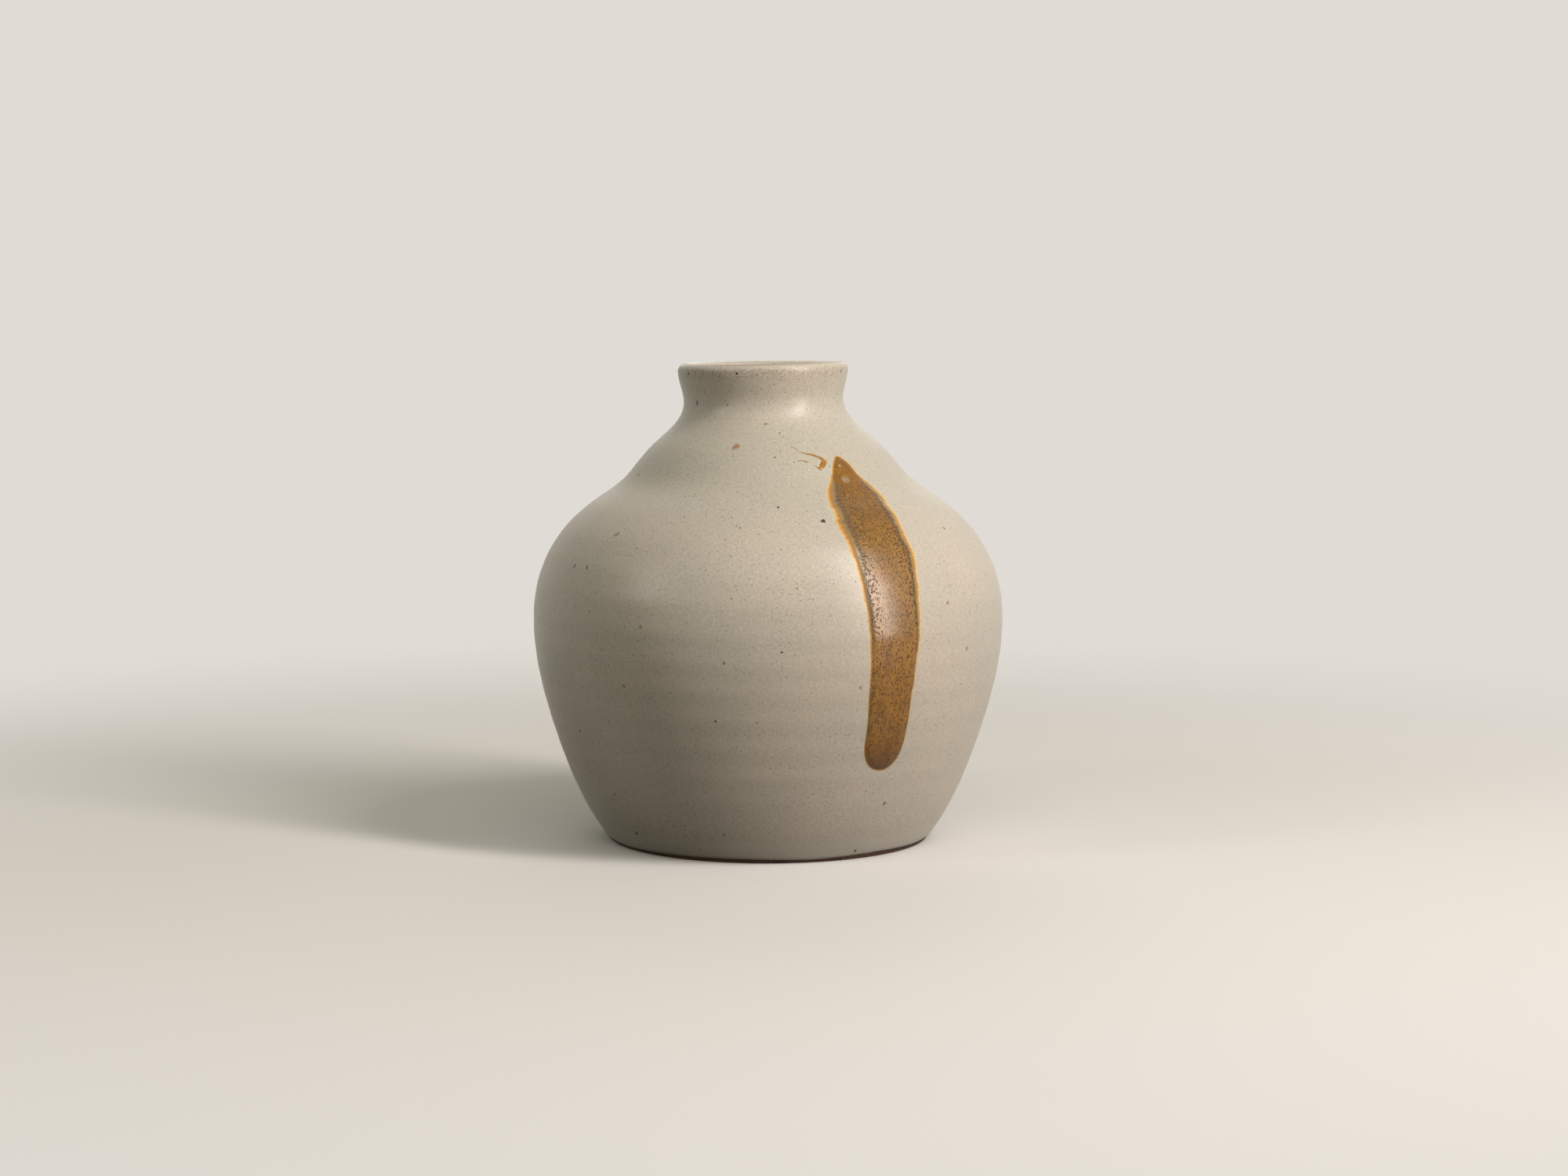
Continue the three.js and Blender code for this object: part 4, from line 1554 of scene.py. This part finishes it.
@dataclass(frozen=True)
class IronFlick:
    """One thin line that the brush let fall, as a low round bead."""

    form: ThrownForm
    flick: Flick
    crown: float = 0.16
    full_half: float = 0.4
    unevenness: float = 0.14
    sunk: float = 0.04
    under_depth: float = 0.15
    rows: int = 120
    around: int = 26

    def build(self) -> None:
        """Carries a low half ellipse along a spline through the steps, square to it on the map of the pot.

        The bead is as tall as its crown where its half width is full_half or more, and lower in proportion
        where it is thinner.
        """
        form, steps = self.form, np.array(self.flick.value)
        spots = np.stack([np.radians(steps[:, 0]), form.north(steps[:, 1])], 1)
        way = along(np.linalg.norm(np.diff(spots, axis=0), axis=1))
        even = np.linspace(0, way[-1], self.rows)
        east, east_slope = SmoothCurve.through(way, spots[:, 0])(even)
        north, north_slope = SmoothCurve.through(way, spots[:, 1])(even)
        uneven = 1 + self.unevenness * ripple(np.linspace(0, 2 * math.pi, self.rows), waves=24, seed=3)
        half = SmoothCurve.through(way, steps[:, 2])(even)[0] * uneven / 2
        square = np.stack([north_slope, -east_slope], 1) / np.hypot(east_slope, north_slope)[:, None]
        half_turn = half / form.outline(form.height_at(north))[0]
        turn = ring_of(self.around)[None, :]
        shift = (square * half_turn[:, None])[:, None, :] * np.cos(turn)[..., None]
        angle, level = east[:, None] + shift[..., 0], form.height_at(north[:, None] + shift[..., 1])
        up = np.sin(turn)
        tall = self.crown * np.minimum(1, half[:, None] / self.full_half)
        lift = np.where(up > 0, (tall + self.sunk) * up, self.under_depth * up) - self.sunk
        rings = form.on_outside(angle, level, lift)
        ends = form.on_outside(east[[0, -1]], form.height_at(north[[0, -1]]), -self.sunk)
        depth = np.clip(up, 0, 1) + 0 * angle
        piece = closed_mesh(f"flick_{self.flick.name.lower()}", rings[None], ends[None], iron_depth=depth)
        settle(piece, BrushedIron().flick_material(), "iron_glaze", self.flick.node)


class Speck(NamedTuple):
    """A speck in the glaze: its angle in degrees, height, length, width, tilt from upright, and tone."""

    angle: float
    height: float
    length: float
    width: float
    tilt: float
    tone: SpeckTone


@dataclass(frozen=True)
class KilnSpecks:
    """Specks of iron and grog on the whole outside: the front's large ones, and scattered ones all round."""

    form: ThrownForm
    front: tuple[Speck, ...] = (
        Speck(-54.6, 120.0, 2.1, 1.0, 4, SpeckTone.BLACK),
        Speck(-14.2, 108.8, 3.2, 2.3, 40, SpeckTone.PINK),
        Speck(3.9, 93.8, 1.1, 1.0, 0, SpeckTone.BLACK),
        Speck(16.8, 90.4, 1.9, 1.6, 70, SpeckTone.BLACK),
        Speck(-30.2, 63.9, 1.5, 1.1, 20, SpeckTone.OCHRE),
        Speck(-56.6, 77.5, 1.6, 1.0, 15, SpeckTone.BROWN),
        Speck(-50.8, 77.5, 1.6, 1.0, -10, SpeckTone.BROWN),
        Speck(-35.7, 48.0, 1.5, 1.2, 0, SpeckTone.OCHRE),
        Speck(-46.3, 6.1, 1.6, 1.2, 30, SpeckTone.BLACK),
        Speck(-9.7, 55.4, 1.2, 1.0, 0, SpeckTone.RED),
        Speck(59.8, 86.9, 1.1, 1.0, 0, SpeckTone.BROWN),
        Speck(47.7, 68.7, 1.5, 1.1, 60, SpeckTone.OCHRE),
        Speck(54.9, 56.0, 1.5, 1.2, 20, SpeckTone.OCHRE),
        Speck(35.2, 15.9, 2.0, 0.8, 35, SpeckTone.BROWN),
        Speck(-56.4, 33.6, 1.2, 1.0, 0, SpeckTone.BROWN),
        Speck(-12.3, 40.0, 1.0, 0.9, 0, SpeckTone.BROWN),
        Speck(1.5, 114.4, 1.4, 1.1, 80, SpeckTone.OCHRE),
        Speck(-66.2, 100.7, 1.4, 1.1, 0, SpeckTone.BROWN),
        Speck(-16.9, 127.8, 1.4, 1.0, 0, SpeckTone.BLACK),
        Speck(-59.3, 127.7, 1.9, 1.1, 10, SpeckTone.BROWN),
        Speck(65.8, 127.5, 1.4, 0.9, 0, SpeckTone.BROWN),
        Speck(-25.7, 119.6, 1.2, 0.9, 15, SpeckTone.GREEN),
        Speck(22.2, 48.5, 1.2, 1.0, 0, SpeckTone.OCHRE),
        Speck(30.4, 2.6, 1.4, 1.1, 0, SpeckTone.BROWN),
        Speck(-45.5, 86.3, 3.0, 1.8, 60, SpeckTone.GREEN),
        Speck(-48.7, 17.0, 1.1, 0.9, 0, SpeckTone.OCHRE),
        Speck(13.1, 104.7, 0.6, 0.5, 0, SpeckTone.RED),
        Speck(-7.5, 89.0, 1.0, 0.8, 60, SpeckTone.OCHRE),
        Speck(4.8, 106.0, 1.0, 0.9, 0, SpeckTone.RED),
        Speck(9.0, 112.0, 1.0, 0.8, 0, SpeckTone.OCHRE),
    )
    scattered: int = 210
    seed: int = 29
    heights: tuple[float, float] = (3.0, 126.0)
    height_steps: int = 600
    keep_clear: tuple[float, float] = (12.0, 50.0)
    smallest: float = 0.32
    size_range: float = 0.55
    narrowest: float = 0.6
    tone_shares: tuple[float, ...] = (0.24, 0.34, 0.22, 0.08, 0.02, 0.1)
    crown: float = 0.04
    sunk: float = 0.02
    # Shares of a speck's radius where the rings of its top and of its back lie, and how deep the back's lie
    top_shares: tuple[float, float] = (0.15, 1.0)
    back_shares: tuple[float, float] = (0.6, 0.2)
    back_depths: tuple[float, float] = (0.08, 0.1)
    lobes: float = 0.12
    small_lobes: float = 0.08
    rings: int = 5
    around: int = 18

    def all_round(self) -> list[Speck]:
        """Seeds scattered specks, small ones most, none near the stripe, and adds them to the front's.

        Heights are spread evenly by surface, so by the run of radius along the outline. A length is the
        smallest one plus size_range times the cube of an even draw.

        Returns:
            All the specks.
        """
        draw = np.random.default_rng(self.seed)
        fine = np.linspace(*self.heights, self.height_steps)
        radius, slope = self.form.outline(fine)
        run = np.cumsum(radius * np.hypot(1, slope))
        heights = np.interp(draw.uniform(0, run[-1], self.scattered), run, fine)
        angles = draw.uniform(self.keep_clear[1], 360 + self.keep_clear[0], self.scattered)
        sizes = self.smallest + self.size_range * draw.uniform(0, 1, self.scattered) ** 3
        shapes = draw.uniform(self.narrowest, 1.0, self.scattered)
        tilts = draw.uniform(-90, 90, self.scattered)
        tones = draw.choice(np.array(list(SpeckTone), object), self.scattered, p=self.tone_shares)
        return [*self.front, *map(Speck, angles, heights, sizes, sizes * shapes, tilts, tones)]

    def build(self) -> None:
        """Lays one closed lens for each speck, all of a tone in one mesh.

        A lens is rings about its middle at shares of its radius, with three lobes and five small ones. Its
        top stands off the glaze by a parabola, and its rim and its back are sunk.
        """
        specks = self.all_round()
        out = np.linspace(*self.top_shares, self.rings)
        share = np.concatenate([out, self.back_shares])[None, :, None]
        face = (self.crown + self.sunk) * (1 - out**2) - self.sunk
        stand = np.concatenate([face, np.negative(self.back_depths)])[None, :, None]
        heart = np.concatenate([1 - out, [0, 0]])[None, :, None]
        turn = ring_of(self.around)[None, None, :]
        for tone in SpeckTone:
            own = [speck for speck in specks if speck.tone is tone]
            angle, height, length, width, tilt = np.array([speck[:5] for speck in own]).T[..., None, None]
            small = self.small_lobes * np.sin(5 * turn + 3 * height)
            lobes = 1 + self.lobes * np.sin(3 * turn + angle) + small
            long, wide = length / 2 * share * lobes * np.cos(turn), width / 2 * share * lobes * np.sin(turn)
            lean = np.radians(tilt)
            radius = self.form.outline(height)[0]
            north = self.form.north(height) + (long * np.cos(lean) - wide * np.sin(lean)) / radius
            east = np.radians(angle) + (long * np.sin(lean) + wide * np.cos(lean)) / radius
            rings = self.form.on_outside(east, self.form.height_at(north), stand + 0 * north)
            middle = np.radians(angle[:, :, 0]), height[:, :, 0]
            ends = [self.form.on_outside(*middle, lift) for lift in (self.crown, -self.back_depths[1])]
            name = f"specks_{tone.name.lower()}"
            piece = closed_mesh(name, rings, np.concatenate(ends, 1), speck_heart=heart)
            settle(piece, SpeckledGlaze().material(tone), "satin_glaze")


class Lamp(NamedTuple):
    """An upright soft lamp that faces the vase.

    Its azimuth runs in degrees from the front towards +X and its elevation in degrees above the floor. Its
    distance, width and height are in metres and its power in watts.
    """

    name: str
    azimuth: float
    elevation: float
    distance: float
    width: float
    tall: float
    watts: float
    colour: str


@dataclass(frozen=True)
class Studio:
    """Pale floor and background, five soft lamps and a camera where the photograph was taken from.

    Sizes and places are in metres, and the camera's lens and sensor in millimetres.
    """

    lamps: tuple[Lamp, ...] = (
        Lamp("key_softbox", 55.3, 34.8, 1.12, 0.17, 0.82, 8.8, "#FFF5EE"),
        Lamp("key_lower_end", 55.3, 3.5, 1.174, 0.17, 0.42, 3.5, "#FFF5EE"),
        Lamp("top_fill", 2.0, 50.0, 1.3, 0.8, 0.8, 1.9, "#FFF8EE"),
        Lamp("left_fill", -63.0, 28.0, 1.3, 0.26, 0.3, 1.5, "#EEF2EE"),
        Lamp("back_fill", 180.0, 30.0, 1.4, 0.9, 0.9, 3.0, "#F4F2EC"),
    )
    aim: tuple[float, float, float] = (0.0, 0.0, 0.07)
    floor_radius: float = 6.0
    floor_corners: int = 96
    floor_colour: str = "#F3F3F3"
    bounce_colour: str = "#403930"
    floor_fade: Span = Span(0.13, 0.5)
    pale: str = "#E0DCD5"
    ambient: str = "#C8C0A6"
    ambient_strength: float = 0.35
    camera_place: tuple[float, float, float] = (0.00437, -0.8146, 0.1479)
    camera_pitch: float = -5.576
    lens: float = 68.4
    sensor: float = 36.0

    def hang(self, lamp: Lamp) -> None:
        """Hangs a lamp, turned to the vase and not seen itself.

        Args:
            lamp: The lamp.
        """
        data = bpy.data.lights.new(lamp.name, "AREA")
        data.shape = "RECTANGLE"
        data.size, data.size_y, data.energy = lamp.width, lamp.tall, lamp.watts
        data.color = linear(lamp.colour)[:3]
        hung = bpy.data.objects.new(lamp.name, data)
        hung.visible_camera = False
        bpy.context.scene.collection.objects.link(hung)
        turn, up = math.radians(lamp.azimuth), math.radians(lamp.elevation)
        way = Vector((math.sin(turn) * math.cos(up), -math.cos(turn) * math.cos(up), math.sin(up)))
        hung.location = Vector(self.aim) + way * lamp.distance
        hung.rotation_euler = (-way).to_track_quat("-Z", "Y").to_euler()

    def seen(self, tree: Tree) -> Socket:
        """Tells apart what is looked at from what only gives light.

        Args:
            tree: Node tree that the factor goes into.

        Returns:
            Socket of 1 where the camera, a mirror or glass looks, and 0 for light that only bounces.
        """
        seen = add_node(tree, "ShaderNodeLightPath", output="Is Camera Ray")
        path = seen.node.outputs
        for ray in ("Is Glossy Ray", "Is Transmission Ray"):
            seen = add_node(tree, "ShaderNodeMath", {0: seen, 1: path[ray]}, operation="MAXIMUM")
        return seen

    def floor(self) -> None:
        """A disc, pale under the vase's shadow near by, that fades to the background's colour far off."""
        turn = ring_of(self.floor_corners)
        ring = self.floor_radius * np.stack([np.cos(turn), np.sin(turn), 0 * turn], 1)
        mesh = bpy.data.meshes.new("studio_floor")
        mesh.from_pydata(ring.tolist(), [], [list(range(len(turn)))])
        floor = bpy.data.objects.new("studio_floor", mesh)
        bpy.context.scene.collection.objects.link(floor)
        material, tree = new_material("pale_floor")
        shown = add_node(tree, "ShaderNodeBsdfDiffuse", {"Color": self.floor_colour})
        bounce = add_node(tree, "ShaderNodeBsdfDiffuse", {"Color": self.bounce_colour})
        near = add_node(tree, "ShaderNodeMixShader", {0: self.seen(tree), 1: bounce, 2: shown})
        glow = add_node(tree, "ShaderNodeEmission", {"Color": self.pale, "Strength": 1.0})
        place = add_node(tree, "ShaderNodeTexCoord", output="Object")
        away = add_node(tree, "ShaderNodeVectorMath", {0: place}, output="Value", operation="LENGTH")
        far = add_node(tree, "ShaderNodeMapRange", self.floor_fade.over(away), **EASED)
        fade = add_node(tree, "ShaderNodeMath", {0: far, 1: self.seen(tree)}, operation="MULTIPLY")
        both = add_node(tree, "ShaderNodeMixShader", {0: fade, 1: near, 2: glow})
        add_node(tree, "ShaderNodeOutputMaterial", {"Surface": both}, output=None)
        mesh.materials.append(material)

    def background(self) -> None:
        """A pale world where it is seen, and a dim even light elsewhere."""
        world = bpy.data.worlds.new("studio")
        bpy.context.scene.world = world
        world.use_nodes = True
        tree = world.node_tree
        tree.nodes.clear()
        shown = add_node(tree, "ShaderNodeBackground", {"Color": self.pale, "Strength": 1.0})
        dim = {"Color": self.ambient, "Strength": self.ambient_strength}
        dim = add_node(tree, "ShaderNodeBackground", dim)
        both = add_node(tree, "ShaderNodeMixShader", {0: self.seen(tree), 1: dim, 2: shown})
        add_node(tree, "ShaderNodeOutputWorld", {"Surface": both}, output=None)

    def camera(self) -> None:
        """A camera at the photograph's viewing angle, without shift or depth of field."""
        data = bpy.data.cameras.new("camera")
        data.lens, data.sensor_width, data.sensor_fit = self.lens, self.sensor, "HORIZONTAL"
        camera = bpy.data.objects.new("camera", data)
        bpy.context.scene.collection.objects.link(camera)
        camera.location = self.camera_place
        camera.rotation_euler = (math.radians(90 + self.camera_pitch), 0, 0)
        bpy.context.scene.camera = camera

    def build(self) -> None:
        """Sets up the camera, the floor, the background and the lamps."""
        self.camera()
        self.floor()
        self.background()
        for lamp in self.lamps:
            self.hang(lamp)
        bpy.context.scene.view_settings.view_transform = "Standard"
        log.info("studio: floor, background, %d lamps and camera", len(self.lamps))


def main() -> None:
    """Builds the vase from the clay outwards and then its studio, and reports each piece."""
    logging.basicConfig(level=logging.INFO, format="%(message)s")
    form = ThrownForm()
    stripe = IronStripe(form)
    ClayBody(form).build()
    PouredLiner(form).build()
    OuterGlaze(form, stripe).build()
    stripe.build()
    for flick in Flick:
        IronFlick(form, flick).build()
    KilnSpecks(form).build()
    Studio().build()


if __name__ == "__main__":
    main()
